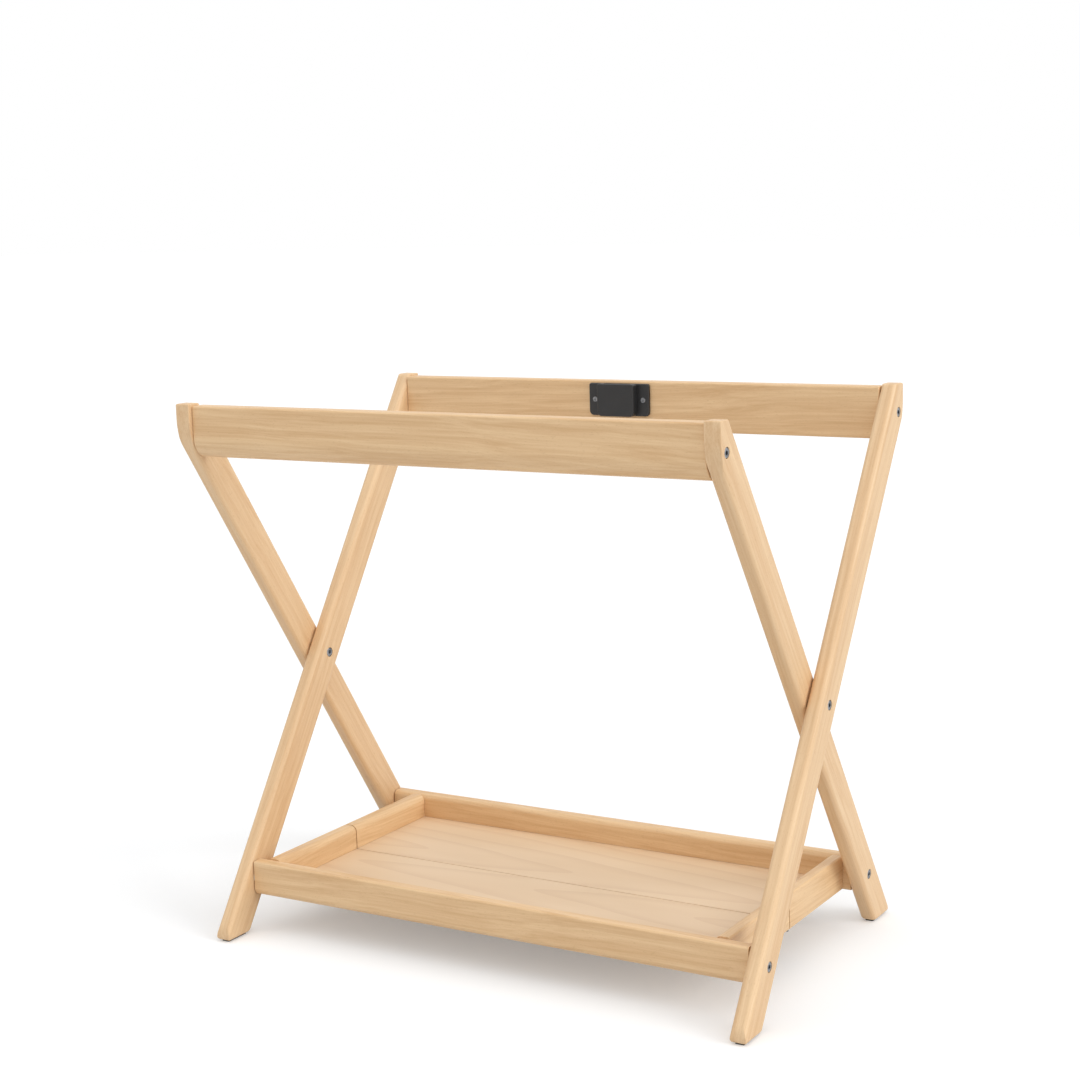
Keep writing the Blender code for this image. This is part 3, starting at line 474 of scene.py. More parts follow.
def arc(centre_a, centre_b, radius, first, last, steps):
    """Points on an arc between two angles."""
    points = []
    for k in range(steps + 1):
        angle = first + (last - first) * k / steps
        points.append(Vector((centre_a + radius * math.cos(angle), centre_b + radius * math.sin(angle))))
    return points


def filleted(corners):
    """An outline from (a, b, radius) corners, each rounded as far as the edges beside it leave room."""
    outline = []
    count = len(corners)
    for i, (a, b, radius) in enumerate(corners):
        here = Vector((a, b))
        if radius == 0:
            outline.append(here)
            continue
        ways = []
        rooms = []
        for neighbour in (corners[i - 1], corners[(i + 1) % count]):
            way = Vector(neighbour[:2]) - here
            rooms.append(way.length * FILLET_SHARE * radius / (radius + neighbour[2]))
            ways.append(way.normalized())
        half = ways[0].angle(ways[1]) / 2
        reach = min(radius / math.tan(half), *rooms)
        centre = here + (ways[0] + ways[1]).normalized() * reach / math.cos(half)
        first = here + ways[0] * reach - centre
        last = here + ways[1] * reach - centre
        turn = first.angle(last)
        for k in range(FILLET_STEPS + 1):
            share = k / FILLET_STEPS
            spoke = first * math.sin((1 - share) * turn) + last * math.sin(share * turn)
            outline.append(centre + spoke / math.sin(turn))
    return outline


def shrunk(outline, distance):
    """The outline moved inwards by a small distance."""
    count = len(outline)
    area = sum(outline[i - 1].cross(outline[i]) for i in range(count))
    turn = 1 if area > 0 else -1
    moved = []
    for i in range(count):
        before = (outline[i] - outline[i - 1]).normalized()
        after = (outline[(i + 1) % count] - outline[i]).normalized()
        inward = Vector((-(before + after).y, (before + after).x)) * turn
        inward.normalize()
        edge = Vector((-before.y, before.x)) * turn
        moved.append(outline[i] + inward * distance / max(MITRE_LIMIT, inward.dot(edge)))
    return moved


def prism(outline, near, far, point, near_edge=END_BREAK, far_edge=END_BREAK):
    """Extrudes an outline from near to far with rounded end edges. point(a, b, t) gives a place."""
    bm = bmesh.new()
    rings = []
    for edge, start, way in ((near_edge, near, 1), (far_edge, far, -1)):
        end = []
        for k in range(END_STEPS + 1):
            angle = math.pi / 2 * k / END_STEPS
            ring = shrunk(outline, edge * (1 - math.sin(angle)))
            t = start + way * edge * (1 - math.cos(angle))
            end.append([point(a, b, t) for a, b in ring])
        rings += end if way == 1 else reversed(end)
    loft(bm, rings)
    return bm


def along_x(a, b, t):
    return Vector((t, a, b))


def along_y(a, b, t):
    return Vector((a, t, b))


def along_z(a, b, t):
    return Vector((a, b, t))


# Pieces

def to_object(name, bm):
    """An object in the scene from a mesh in the making, which this uses up."""
    bmesh.ops.remove_doubles(bm, verts=bm.verts, dist=WELD_DISTANCE)
    bmesh.ops.recalc_face_normals(bm, faces=bm.faces)
    mesh = bpy.data.meshes.new(name)
    bm.to_mesh(mesh)
    bm.free()
    obj = bpy.data.objects.new(name, mesh)
    bpy.context.scene.collection.objects.link(obj)
    return obj


def carve(obj, tools):
    """Joins, cuts or intersects an object with (operation, mesh) tools, and keeps the result as its mesh."""
    helpers = []
    for operation, bm in tools:
        helper = to_object("tool", bm)
        helpers.append(helper)
        boolean = obj.modifiers.new("tool", "BOOLEAN")
        boolean.operation = operation
        boolean.solver = "EXACT"
        boolean.object = helper
    result = bpy.data.meshes.new_from_object(obj.evaluated_get(bpy.context.evaluated_depsgraph_get()))
    obj.modifiers.clear()
    obj.data = result
    for helper in helpers:
        bpy.data.objects.remove(helper, do_unlink=True)


def finish_piece(obj, material, body, grain=(X_AXIS, Y_AXIS)):
    """Gives a piece its local frame, with X and Y along the two grain directions, and its shading."""
    corners = [Vector(corner) for corner in obj.bound_box]
    middle = sum(corners, Vector()) / len(corners)
    along, across = grain
    turn = Matrix((along, across, along.cross(across))).transposed()
    place = Matrix.Translation(middle) @ turn.to_4x4()
    obj.data.transform(place.inverted())
    obj.matrix_world = place
    obj.data.materials.clear()
    obj.data.materials.append(material)
    obj.data.shade_smooth()
    obj.data.set_sharp_from_angle(angle=SHARP_ANGLE)
    weighted = obj.modifiers.new("Weighted normals", "WEIGHTED_NORMAL")
    weighted.keep_sharp = True
    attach(obj, body)


def dress(node, bm, material, tools=(), grain=(X_AXIS, Y_AXIS), turned=False):
    """A finer piece in place of a CAD node. A turned one is made as its partner, then turned about Z."""
    if turned:
        half_turn = Matrix.Rotation(math.pi, 3, "Z")
        for mesh in [bm] + [tool for _, tool in tools]:
            bmesh.ops.rotate(mesh, verts=mesh.verts, cent=(0, 0, 0), matrix=half_turn)
        grain = tuple(half_turn @ way for way in grain)
    obj = to_object(node + "_fine", bm)
    if tools:
        carve(obj, tools)
    finish_piece(obj, material, BODY_OF[node], grain)
    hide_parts(node)


# Legs, made as frame A's: its tops lie at the front, its left leg outside and its right leg inside

def nose_limit(z):
    """How far a top may reach outwards: upright at the very top, then curving in to the slant."""
    drop = max(0.0, NOSE_TOP_Z - z)
    return NOSE_REACH - NOSE_RADIUS + math.sqrt(NOSE_RADIUS ** 2 - drop ** 2)


def face_limit(z, face, centre_z, radius):
    """How far a slanted face may reach where it curves upright. The curve ends at centre_z, and face is
    the slanted face's reach there."""
    rise = max(0.0, z - centre_z)
    return face - radius / math.cos(LEG_ANGLE) + math.sqrt(max(0.0, radius ** 2 - rise ** 2))


def foot_side_limit(z):
    """How far the side of the foot may reach: at the toe, and at the rounded back corner of the top."""
    if z < TOE_TOP_Z:
        face = (CROSSING_Z - TOE_CENTRE_Z) * SLOPE + LEG_HALF_SPAN
        return face_limit(z, face, TOE_CENTRE_Z, LEG_TOE_RADIUS)
    if z > BACK_LOW_Z:
        face = (CROSSING_Z - BACK_CENTRE_Z) * SLOPE + LEG_HALF_SPAN
        return face_limit(z, face, BACK_CENTRE_Z, LEG_BACK_RADIUS)
    return math.inf


def leg_corner(half_x, radius, face, limit):
    """A quarter of a leg's level section, from its side to its face, with softened edges at the cut.
    The margin keeps its last point apart from the next quarter's first."""
    radius_x = radius - CRISP_ROUND
    radius_y = radius / math.cos(LEG_ANGLE) - CRISP_ROUND
    centre_x = half_x - radius
    centre_y = face - radius / math.cos(LEG_ANGLE)
    top = limit - CRISP_ROUND
    corner = []
    for k in range(FILLET_STEPS + 1):
        angle = math.radians(CORNER_MARGIN + (90 - 2 * CORNER_MARGIN) * k / FILLET_STEPS)
        cos, sin = math.cos(angle), math.sin(angle)
        length = math.hypot(radius_x * cos, radius_y * sin)
        x = centre_x + radius_x ** 2 * cos / length
        y = centre_y + radius_y ** 2 * sin / length
        if y > top:
            rise = max(0.0, top - centre_y) / radius_y
            x = centre_x + radius_x * math.sqrt(1 - rise ** 2)
            y = top
        corner.append((x + CRISP_ROUND * cos, y + CRISP_ROUND * sin))
    return corner


def leg_section(z, inset=0.0):
    """A leg's level section as (x, reach) points, where reach grows towards the side of its top."""
    half_x = LEG_THICKNESS / 2 - inset
    half_span = LEG_HALF_SPAN - inset
    radius = LEG_EDGE_RADIUS - inset
    middle = (z - CROSSING_Z) * SLOPE
    nose = nose_limit(z) - inset if z > NOSE_LOW_Z else math.inf
    top_side = leg_corner(half_x, radius, half_span + middle, nose)
    foot_side = leg_corner(half_x, radius, half_span - middle, foot_side_limit(z) - inset)
    section = list(top_side)
    section += [(-x, reach) for x, reach in reversed(top_side)]
    section += [(-x, -reach) for x, reach in foot_side]
    section += [(x, -reach) for x, reach in reversed(foot_side)]
    return section


def leg_levels():
    """Heights of a leg's sections from foot to top, each with its inset at the rounded ends."""
    quarter = [math.pi / 2 * k / FILLET_STEPS for k in range(FILLET_STEPS + 1)]
    toe_rise = TOE_TOP_Z - TOE_CENTRE_Z
    nose_rise = NOSE_TOP_Z - NOSE_LOW_Z
    top_base = STAND_HEIGHT - LEG_TOP_ROUND
    back_rise = top_base - BACK_LOW_Z
    levels = []
    for a in quarter:
        levels.append((TOE_CENTRE_Z - LEG_FOOT_ROUND * math.cos(a), LEG_FOOT_ROUND * (1 - math.sin(a))))
    levels += [(TOE_CENTRE_Z + toe_rise * k / NOSE_STEPS, 0.0) for k in range(1, NOSE_STEPS + 1)]
    levels += [(NOSE_LOW_Z + nose_rise * k / NOSE_STEPS, 0.0) for k in range(NOSE_STEPS + 1)]
    levels += [(BACK_LOW_Z + back_rise * k / END_STEPS, 0.0) for k in range(END_STEPS)]
    for a in quarter:
        levels.append((top_base + LEG_TOP_ROUND * math.sin(a), LEG_TOP_ROUND * (1 - math.cos(a))))
    return levels


def leg_mesh(middle_x):
    """A leg, lofted through its level sections."""
    bm = bmesh.new()
    rings = []
    for z, inset in leg_levels():
        rings.append([Vector((middle_x + x, -reach, z)) for x, reach in leg_section(z, inset)])
    loft(bm, rings)
    return bm


def counterbored_hole(face_x, way, y, z, radius):
    """A hole through a leg with a chamfered counterbore for a head."""
    head = BOLT_HEAD_RADIUS + FIT_GAP
    profile = [(-OVERSHOOT, head + RIM_CHAMFER + OVERSHOOT), (RIM_CHAMFER, head), (COUNTERBORE_DEPTH, head),
               (COUNTERBORE_DEPTH, radius), (LEG_THICKNESS + OVERSHOOT, radius)]
    return ("DIFFERENCE", revolve((face_x, y, z), X_AXIS * way, profile))


def dress_leg(letter, side, material):
    """A leg and its pad; side is -1 for frame A's left leg and for frame B's right leg."""
    turned = letter == "b"
    where = "left" if (side < 0) != turned else "right"
    low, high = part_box("leg_a_left" if side < 0 else "leg_a_right")
    x = (low.x + high.x) / 2
    outer_face = x + side * LEG_THICKNESS / 2
    tools = [counterbored_hole(outer_face, -side, TOP_BOLT_Y, TOP_BOLT_Z, BOLT_HOLE_RADIUS),
             counterbored_hole(outer_face, -side, PIVOT_Y, PIVOT_Z, BOLT_HOLE_RADIUS),
             counterbored_hole(x - LEG_THICKNESS / 2, 1, 0, CROSSING_Z, SLEEVE_RADIUS + FIT_GAP)]
    dress(f"leg_{letter}_{where}", leg_mesh(x), material, tools, (Z_AXIS, X_AXIS), turned)
    foot_section = leg_section(FOOT_Z, LEG_FOOT_ROUND + PAD_INSET)
    sole = [Vector((x + across, -reach)) for across, reach in foot_section]
    pad_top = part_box("foot_pad_a_left")[1].z
    dress(f"foot_pad_{letter}_{where}", prism(sole, 0.0, pad_top, along_z), rubber_pad, turned=turned)


# Top rails

def dress_top_rail(top, material):
    """A rail whose lower outer edge is cut back in a long curve."""
    low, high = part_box("top_rail_front")
    corners = [(high.y, low.z, RAIL_EDGE_RADIUS), (high.y, high.z, RAIL_EDGE_RADIUS),
               (low.y, high.z, RAIL_EDGE_RADIUS),
               (low.y, low.z + TOP_RAIL_CURVE_HEIGHT, TOP_RAIL_FACE_RADIUS),
               (low.y + TOP_RAIL_CURVE_DEPTH, low.z, TOP_RAIL_LOWER_RADIUS)]
    rail = prism(filleted(corners), low.x, high.x, along_x, TOP_RAIL_END_ROUND, TOP_RAIL_END_ROUND)
    dress(f"top_rail_{top}", rail, material, turned=top == "back")


# Fasteners, made from their nodes' boxes

def socket_head(start):
    """Steps of a rounded head with a chamfered six-sided socket. The first two are the socket's."""
    across = SOCKET_ACROSS_FLATS / 2
    return [(start + SOCKET_DEPTH, across), (start + SOCKET_CHAMFER, across),
            (start, across + SOCKET_CHAMFER)] + head_edge(start)


def head_edge(start):
    """Steps of the rounded edge of a bolt's head."""
    steps = []
    for k in range(END_STEPS + 1):
        angle = math.pi / 2 * k / END_STEPS
        steps.append((start + HEAD_EDGE_RADIUS * (1 - math.cos(angle)),
                      BOLT_HEAD_RADIUS - HEAD_EDGE_RADIUS * (1 - math.sin(angle))))
    return steps


def dress_bolt(node, way):
    """A bolt along X; way is the direction from its head to its tip."""
    low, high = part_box(node)
    middle = (low + high) / 2
    face_x = low.x if way > 0 else high.x
    profile = socket_head(0) + [(BOLT_HEAD_HEIGHT, BOLT_HEAD_RADIUS), (BOLT_HEAD_HEIGHT, BOLT_RADIUS),
                                (high.x - low.x, BOLT_RADIUS)]
    dress(node, revolve((face_x, middle.y, middle.z), X_AXIS * way, profile, hexagonal=(0, 1)), zinc_steel)


def dress_sleeve_nut(node):
    """A headed sleeve with a slot across its head and a bore for the bolt."""
    low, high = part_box(node)
    profile = head_edge(0) + [(BOLT_HEAD_HEIGHT, BOLT_HEAD_RADIUS), (BOLT_HEAD_HEIGHT, SLEEVE_RADIUS),
                              (high.x - low.x, SLEEVE_RADIUS), (high.x - low.x, BOLT_HOLE_RADIUS),
                              (BOLT_HEAD_HEIGHT, BOLT_HOLE_RADIUS)]
    middle = (low + high) / 2
    slot = box((low.x - OVERSHOOT, -BOLT_HEAD_RADIUS * 2, middle.z - SLOT_WIDTH / 2),
               (low.x + SLOT_DEPTH, BOLT_HEAD_RADIUS * 2, middle.z + SLOT_WIDTH / 2))
    dress(node, revolve((low.x, middle.y, middle.z), X_AXIS, profile), zinc_steel, [("DIFFERENCE", slot)])


def dress_washer(node, bore):
    """A washer with chamfered rims."""
    low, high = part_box(node)
    middle = (low + high) / 2
    radius = (high.z - low.z) / 2
    width = high.x - low.x
    profile = [(0, bore), (0, radius - RIM_CHAMFER), (RIM_CHAMFER, radius),
               (width - RIM_CHAMFER, radius), (width, radius - RIM_CHAMFER), (width, bore)]
    dress(node, revolve((low.x, middle.y, middle.z), X_AXIS, profile, closed=True), nylon)


def screw_mesh(start, way, head_radius, radius, length):
    """A countersunk screw whose head is flush with the face at start."""
    profile = [(0, head_radius - SCREW_RIM_INSET), (SCREW_RIM_HEIGHT, head_radius),
               (head_radius - radius, radius), (length, radius)]
    return revolve(start, way, profile)


def cross_recess(start, way):
    """Cutters for the cross in a screw's head, which narrows inwards. way points into the screw."""
    cutters = []
    levels = ((-CROSS_RECESS_DEPTH / 2, CROSS_RECESS_FLARE), (CROSS_RECESS_DEPTH, CROSS_RECESS_TIP))
    first = X_AXIS
    second = way.cross(first)
    for long_way, short_way in ((first, second), (second, first)):
        rings = []
        for depth, share in levels:
            half_long = long_way * share * CROSS_RECESS_LENGTH / 2
            half_short = short_way * CROSS_RECESS_WIDTH / 2
            middle = start + way * depth
            rings.append([middle - half_long - half_short, middle + half_long - half_short,
                          middle + half_long + half_short, middle - half_long + half_short])
        bm = bmesh.new()
        loft(bm, rings)
        cutters.append(("DIFFERENCE", bm))
    return cutters


# Cradle brackets, made as the front one

def bracket_plate(half_width, near, far):
    """A plate along the rail's inner face, as high as the bracket, with well rounded lower corners."""
    low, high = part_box("cradle_bracket_front")
    outline = filleted([(-half_width, low.z, BRACKET_CORNER), (half_width, low.z, BRACKET_CORNER),
                        (half_width, high.z, RAIL_EDGE_RADIUS), (-half_width, high.z, RAIL_EDGE_RADIUS)])
    return prism(outline, near, far, along_y, BRACKET_BACK_EDGE, BRACKET_EDGE)


def bracket_pocket():
    """The cutter for the pocket in the bracket's top, which widens at its mouth."""
    low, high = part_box("cradle_bracket_front")
    half_length = BRACKET_WIDTH / 2 - POCKET_END_WALL
    near, far = low.y + POCKET_SIDE_WALL, high.y - POCKET_SIDE_WALL
    levels = ((low.z + POCKET_FLOOR, 0), (high.z - BRACKET_EDGE, 0), (high.z + OVERSHOOT, POCKET_LEAD_IN))
    rings = []
    for z, grow in levels:
        reach = half_length + grow
        outline = filleted([(-reach, near - grow, POCKET_CORNER), (reach, near - grow, POCKET_CORNER),
                            (reach, far + grow, POCKET_CORNER), (-reach, far + grow, POCKET_CORNER)])
        rings.append([Vector((a, b, z)) for a, b in outline])
    pocket = bmesh.new()
    loft(pocket, rings)
    return pocket


def dress_bracket(top):
    """A moulded flange with a block on it, a pocket in the block, and a screw to each side."""
    turned = top == "back"
    low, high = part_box("cradle_bracket_front")
    flange = bracket_plate(high.x, low.y, low.y + FLANGE_THICKNESS)
    tools = [("UNION", bracket_plate(BRACKET_WIDTH / 2, low.y + FLANGE_THICKNESS / 2, high.y)),
             ("DIFFERENCE", bracket_pocket())]
    head = BRACKET_SCREW_HEAD_RADIUS + FIT_GAP
    shank = BRACKET_SCREW_RADIUS + FIT_GAP
    profile = [(-OVERSHOOT, head), (RIM_CHAMFER, head), (RIM_CHAMFER + head - shank, shank),
               (FLANGE_THICKNESS + OVERSHOOT, shank)]
    screws = []
    for where, other in (("left", "right"), ("right", "left")):
        screw_low, screw_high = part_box(f"bracket_screw_front_{where}")
        middle = (screw_low + screw_high) / 2
        start = Vector((middle.x, screw_high.y, middle.z))
        tools.append(("DIFFERENCE", revolve(start, -Y_AXIS, profile)))
        node = f"bracket_screw_{top}_{other if turned else where}"
        screws.append((node, start, screw_high.y - screw_low.y))
    dress(f"cradle_bracket_{top}", flange, black_plastic, tools, turned=turned)
    for node, start, length in screws:
        mesh = screw_mesh(start, -Y_AXIS, BRACKET_SCREW_HEAD_RADIUS, BRACKET_SCREW_RADIUS, length)
        dress(node, mesh, zinc_steel, cross_recess(start, -Y_AXIS), turned=turned)


# Tray

def panel_groove():
    """The panel's room in the rails around it, from below the seam to the back rail."""
    low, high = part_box("tray_panel_back")
    return ("DIFFERENCE", box((low.x - FIT_GAP, -OVERSHOOT, low.z - FIT_GAP),
                              (high.x + FIT_GAP, high.y + FIT_GAP, high.z + FIT_GAP)))


def dress_tray_rail(end, material):
    """The long rail at the back or the front of the tray."""
    low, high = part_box("tray_rail_back")
    corners = [(low.y, low.z, RAIL_EDGE_RADIUS), (high.y, low.z, TRAY_LOWER_EDGE_RADIUS),
               (high.y, high.z, RAIL_EDGE_RADIUS), (low.y, high.z, TRAY_INNER_EDGE_RADIUS)]
    rail = prism(filleted(corners), low.x, high.x, along_x)
    dress(f"tray_rail_{end}", rail, material, [panel_groove()], turned=end == "front")


def dress_end_rail(end, where, material):
    """An end rail's half, from the seam to the tray rail, with the bed of a hinge in its underside."""
    turned = end == "front"
    side = (-1 if where == "left" else 1) * (-1 if turned else 1)
    low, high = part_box("end_rail_back_left" if side < 0 else "end_rail_back_right")
    outer, inner = (low.x, high.x) if side < 0 else (high.x, low.x)
    corners = [(inner, low.z, RAIL_EDGE_RADIUS), (outer, low.z, RAIL_EDGE_RADIUS),
               (outer, high.z, RAIL_EDGE_RADIUS), (inner, high.z, END_RAIL_INNER_RADIUS)]
    rail_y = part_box("tray_rail_back")[0].y
    rail = prism(filleted(corners), low.y + SEAM_RELIEF, rail_y - FIT_GAP, along_y, far_edge=BUTTED_BREAK)
    dress(f"end_rail_{end}_{where}", rail, material, [panel_groove(), hinge_bed((low.x + high.x) / 2)],
          (Y_AXIS, -X_AXIS), turned)


def dress_panel(end):
    """A half of the tray's panel, from the seam into the rail's groove."""
    low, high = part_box("tray_panel_back")
    seam_y = low.y + SEAM_RELIEF
    outline = filleted([(seam_y, low.z, END_BREAK), (high.y, low.z, END_BREAK),
                        (high.y, high.z, END_BREAK), (seam_y, high.z, END_BREAK)])
    dress(f"tray_panel_{end}", prism(outline, low.x, high.x, along_x), panel_veneer, turned=end == "front")


# Hinges, made as the back ones

def hinge_width():
    low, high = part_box("hinge_leaf_back_left")
    return high.x - low.x


def across_hinge(outline, centre, half):
    """A mesh with an outline of (y, z) points, over half a width to both sides of a hinge's centre."""
    bm = bmesh.new()
    loft(bm, [[Vector((x, y, z)) for y, z in outline] for x in (centre - half, centre + half)])
    return bm


def hinge_bed(centre):
    """The bed of a hinge's leaf and the room round its knuckles."""
    depth = LEAF_THICKNESS + FIT_GAP
    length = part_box("hinge_leaf_back_left")[1].y + FIT_GAP
    outline = [Vector((-KNUCKLE_ROOM, HINGE_Z - OVERSHOOT)), Vector((length, HINGE_Z - OVERSHOOT)),
               Vector((length, HINGE_Z + depth))]
    outline += arc(0, HINGE_Z, KNUCKLE_ROOM, math.asin(depth / KNUCKLE_ROOM), math.pi, 2 * FILLET_STEPS)
    return ("DIFFERENCE", across_hinge(outline, centre, hinge_width() / 2 + FIT_GAP))


def other_knuckles(centre, turned):
    """Cutters for the other leaf's knuckles. Front leaves, which are turned, hold the middle one."""
    half = hinge_width() / 2
    knuckle = half / 3
    if turned:
        spans = [(-2 * half, -knuckle + FIT_GAP / 2), (knuckle - FIT_GAP / 2, 2 * half)]
    else:
        spans = [(-knuckle - FIT_GAP / 2, knuckle + FIT_GAP / 2)]
    cutters = []
    for near, far in spans:
        room = box((centre + near, -KNUCKLE_ROOM, HINGE_Z - KNUCKLE_ROOM),
                   (centre + far, KNUCKLE_ROOM, HINGE_Z + KNUCKLE_ROOM))
        cutters.append(("DIFFERENCE", room))
    return cutters


def dress_hinge_leaf(end, where):
    """A leaf with rounded corners and two countersunk screws."""
    node = f"hinge_leaf_{end}_{where}"
    turned = end == "front"
    side = (-1 if where == "left" else 1) * (-1 if turned else 1)
    low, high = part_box("hinge_leaf_back_left" if side < 0 else "hinge_leaf_back_right")
    centre = (low.x + high.x) / 2
    length = high.y
    half = hinge_width() / 2
    flat = math.asin(LEAF_THICKNESS / KNUCKLE_RADIUS)
    rolled = math.tau - KNUCKLE_SLIT
    outline = [Vector((length, HINGE_Z)), Vector((length, HINGE_Z + LEAF_THICKNESS))]
    outline += arc(0, HINGE_Z, KNUCKLE_RADIUS, flat, rolled, 4 * FILLET_STEPS)
    outline += arc(0, HINGE_Z, PIN_HOLE_RADIUS, rolled, 0, 4 * FILLET_STEPS)
    past = 2 * KNUCKLE_RADIUS
    plan = filleted([(centre - half, -past, 0), (centre + half, -past, 0),
                     (centre + half, length, LEAF_CORNER), (centre - half, length, LEAF_CORNER)])
    keep = bmesh.new()
    loft(keep, [[Vector((a, b, z)) for a, b in plan] for z in (HINGE_Z - past, HINGE_Z + past)])
    tools = [("INTERSECT", keep)] + other_knuckles(centre, turned)
    head = HINGE_SCREW_HEAD_RADIUS + FIT_GAP / 2
    countersink = [(-OVERSHOOT, head), (COUNTERSINK_LIP, head),
                   (COUNTERSINK_LIP + COUNTERSINK_DEPTH, head - COUNTERSINK_DEPTH)]
    far_y = length - HINGE_SCREW_INSET
    for number, y in enumerate((far_y - HINGE_SCREW_SPACING, far_y), 1):
        start = Vector((centre, y, HINGE_Z))
        tools.append(("DIFFERENCE", revolve(start, Z_AXIS, countersink)))
        dress_hinge_screw(f"hinge_screw_{end}_{where}_{number}", start, turned, BODY_OF[node])
    dress(node, across_hinge(outline, centre, half), zinc_steel, tools, turned=turned)


def dress_hinge_screw(name, start, turned, body):
    """A screw that its leaf's node holds, so that it replaces no node of its own."""
    mesh = screw_mesh(start, Z_AXIS, HINGE_SCREW_HEAD_RADIUS, HINGE_SCREW_RADIUS, HINGE_SCREW_LENGTH)
    obj = to_object(name, mesh)
    carve(obj, cross_recess(start, Z_AXIS))
    if turned:
        obj.data.transform(Matrix.Rotation(math.pi, 4, "Z"))
    finish_piece(obj, zinc_steel, body)


def dress_hinge_pin(node):
    """A pin with chamfered ends, through a hinge's knuckles."""
    low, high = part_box(node)
    length = high.x - low.x
    end_radius = HINGE_PIN_RADIUS - RIM_CHAMFER
    profile = [(0, end_radius), (RIM_CHAMFER, HINGE_PIN_RADIUS), (length - RIM_CHAMFER, HINGE_PIN_RADIUS),
               (length, end_radius)]
    dress(node, revolve((low.x, 0, HINGE_Z), X_AXIS, profile), zinc_steel)


# Stage

def seen_directly(tree):
    """1 for what the camera sees directly, in a mirror or through glass, and 0 for light that bounces."""
    path = tree.nodes.new("ShaderNodeLightPath")
    seen = path.outputs["Is Camera Ray"]
    for name in ("Is Glossy Ray", "Is Transmission Ray"):
        either = tree.nodes.new("ShaderNodeMath")
        either.operation = "MAXIMUM"
        tree.links.new(seen, either.inputs[0])
        tree.links.new(path.outputs[name], either.inputs[1])
        seen = either.outputs[0]
    return seen


def make_floor():
    """A pale floor that looks white where nothing shades it."""
    bm = bmesh.new()
    bmesh.ops.create_grid(bm, x_segments=1, y_segments=1, size=FLOOR_HALF)
    floor = to_object("floor", bm)
    shader = Shader("floor", roughness=0.9)
    shader.colour(FLOOR_COLOUR)
    shader.surface.inputs["Specular IOR Level"].default_value = 0.0
    shader.surface.inputs["Emission Color"].default_value = (1.0, 1.0, 1.0, 1.0)
    lift = shader.math("MULTIPLY", seen_directly(shader.tree), FLOOR_LIFT)
    shader.set(shader.surface.inputs["Emission Strength"], lift)
    floor.data.materials.append(shader.material)


def make_world():
    """Grey light all round, which looks white where it is seen directly."""
    world = bpy.data.worlds.new("studio")
    world.use_nodes = True
    bpy.context.scene.world = world
    tree = world.node_tree
    background = tree.nodes["Background"]
    background.inputs["Color"].default_value = (1.0, 1.0, 1.0, 1.0)
    strength = tree.nodes.new("ShaderNodeMapRange")
    tree.links.new(seen_directly(tree), strength.inputs["Value"])
    strength.inputs["To Min"].default_value = WORLD_LIGHT
    strength.inputs["To Max"].default_value = 1.0
    tree.links.new(strength.outputs[0], background.inputs["Strength"])


def make_sun(name, angles, spread, power):
    """An even light. Its angles are the tilt from straight down and the turn of its side to the right."""
    light = bpy.data.lights.new(name, "SUN")
    light.angle = math.radians(spread)
    light.energy = power
    lamp = bpy.data.objects.new(name, light)
    tilt, turn = (math.radians(angle) for angle in angles)
    lamp.rotation_euler = (tilt, 0.0, turn)
    bpy.context.scene.collection.objects.link(lamp)


def make_camera():
    """The camera, where the photograph was taken from."""
    data = bpy.data.cameras.new("camera")
    data.sensor_width = CAMERA_SENSOR
    data.lens = CAMERA_LENS
    camera = bpy.data.objects.new("camera", data)
    camera.location = CAMERA_PLACE
    camera.rotation_euler = Euler([math.radians(angle) for angle in CAMERA_TURN])
    bpy.context.scene.collection.objects.link(camera)
    bpy.context.scene.camera = camera


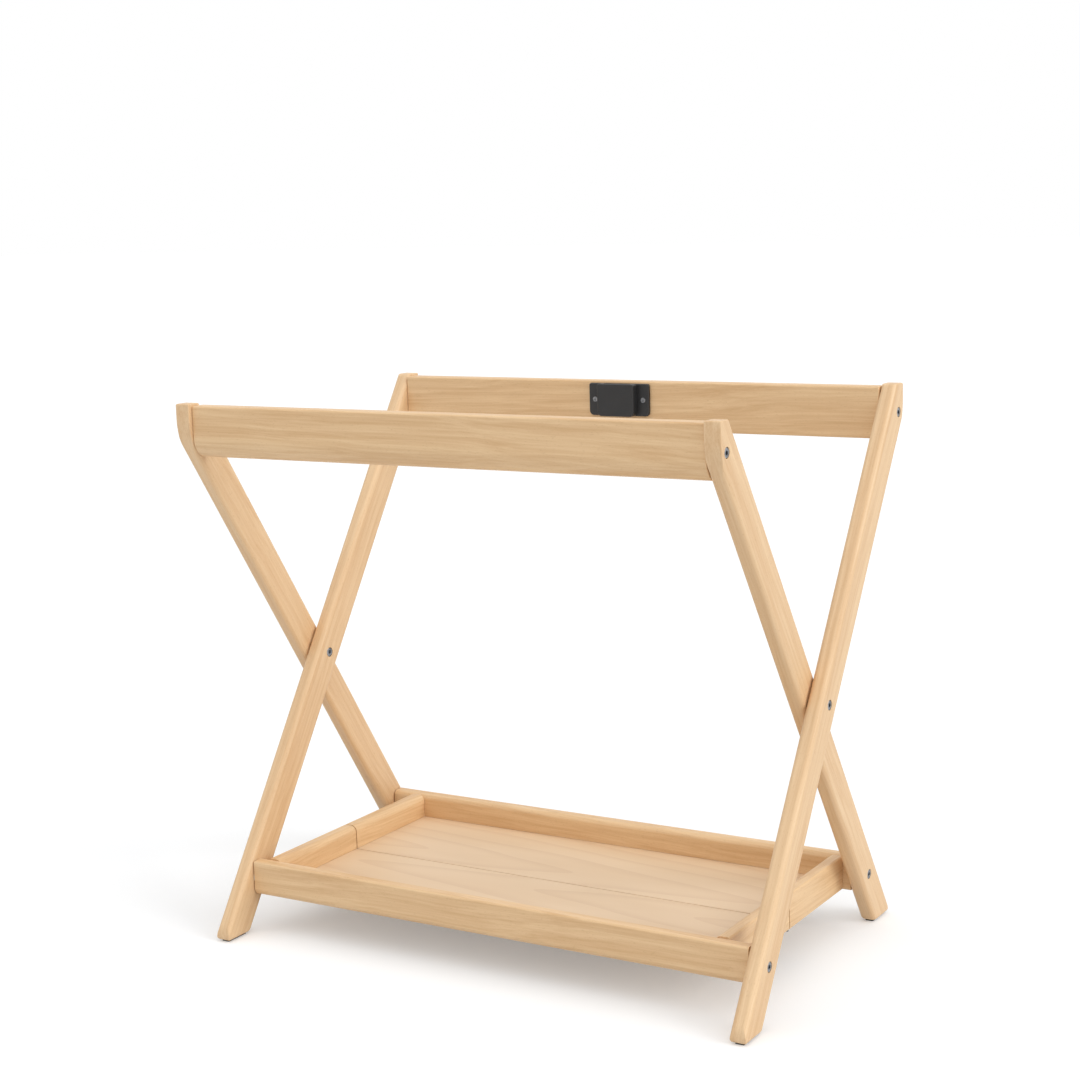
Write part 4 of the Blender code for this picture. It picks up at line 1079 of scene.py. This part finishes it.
# The pieces' materials, with a grain of its own for each piece of wood
LEG_LIGHT, LEG_DARK = srgb(236, 204, 162), srgb(210, 167, 120)
zinc_steel = zinc("zinc_steel")
nylon = moulded("nylon", srgb(228, 226, 218), srgb(214, 212, 204), roughness=0.45, grain=900, depth=0.00002)
rubber_pad = moulded("rubber", srgb(62, 62, 62), srgb(46, 46, 46), roughness=0.8, grain=1400, depth=0.00006)
black_plastic = moulded("black_plastic", srgb(38, 38, 39), srgb(28, 28, 29), roughness=0.45, grain=1800,
                        depth=0.00004)
panel_veneer = veneer("panel_veneer")
dowel_wood = dry_wood()

for letter, side, seed in (("a", -1, 1), ("a", 1, 2), ("b", -1, 3), ("b", 1, 4)):
    leg_wood = wood(f"beech_leg_{letter}_{seed}", seed, LEG_LIGHT, LEG_DARK, lean=0.01, bands=0.4,
                    slant=LEG_ANGLE)
    dress_leg(letter, side, leg_wood)
for number, top in enumerate(("front", "back"), 5):
    dress_top_rail(top, wood(f"beech_top_rail_{top}", number))
    dress_bracket(top)
for number, end in enumerate(("front", "back"), 7):
    dress_tray_rail(end, wood(f"beech_tray_rail_{end}", number))
    dress_panel(end)
    for offset, where in enumerate(("left", "right")):
        dress_end_rail(end, where, wood(f"beech_end_rail_{end}_{where}", 2 * number + offset))
        dress_hinge_leaf(end, where)
        dress_washer(f"tray_washer_{end}_{where}", BOLT_HOLE_RADIUS)
        dress_bolt(f"tray_bolt_{end}_{where}", 1 if where == "left" else -1)
        dress_bolt(f"top_bolt_{end}_{where}", 1 if where == "left" else -1)
for where in ("left", "right"):
    dress_bolt(f"cross_bolt_{where}", -1)
    dress_sleeve_nut(f"cross_nut_{where}")
    dress_washer(f"cross_washer_{where}", SLEEVE_RADIUS + FIT_GAP)
    dress_hinge_pin(f"hinge_pin_{where}")

# The hidden pieces that keep their solids
for stem, material in (("rail_dowel", dowel_wood), ("top_insert", zinc_steel), ("tray_insert", zinc_steel)):
    for name, obj in frame["nodes"].items():
        if name.startswith(stem):
            obj.data.materials.clear()
            obj.data.materials.append(material)

make_floor()
make_world()
make_sun("sky", SKY_ANGLES, SKY_SPREAD, SKY_POWER)
make_sun("key", KEY_ANGLES, KEY_SPREAD, KEY_POWER)
make_camera()
bpy.context.scene.view_settings.view_transform = "Standard"
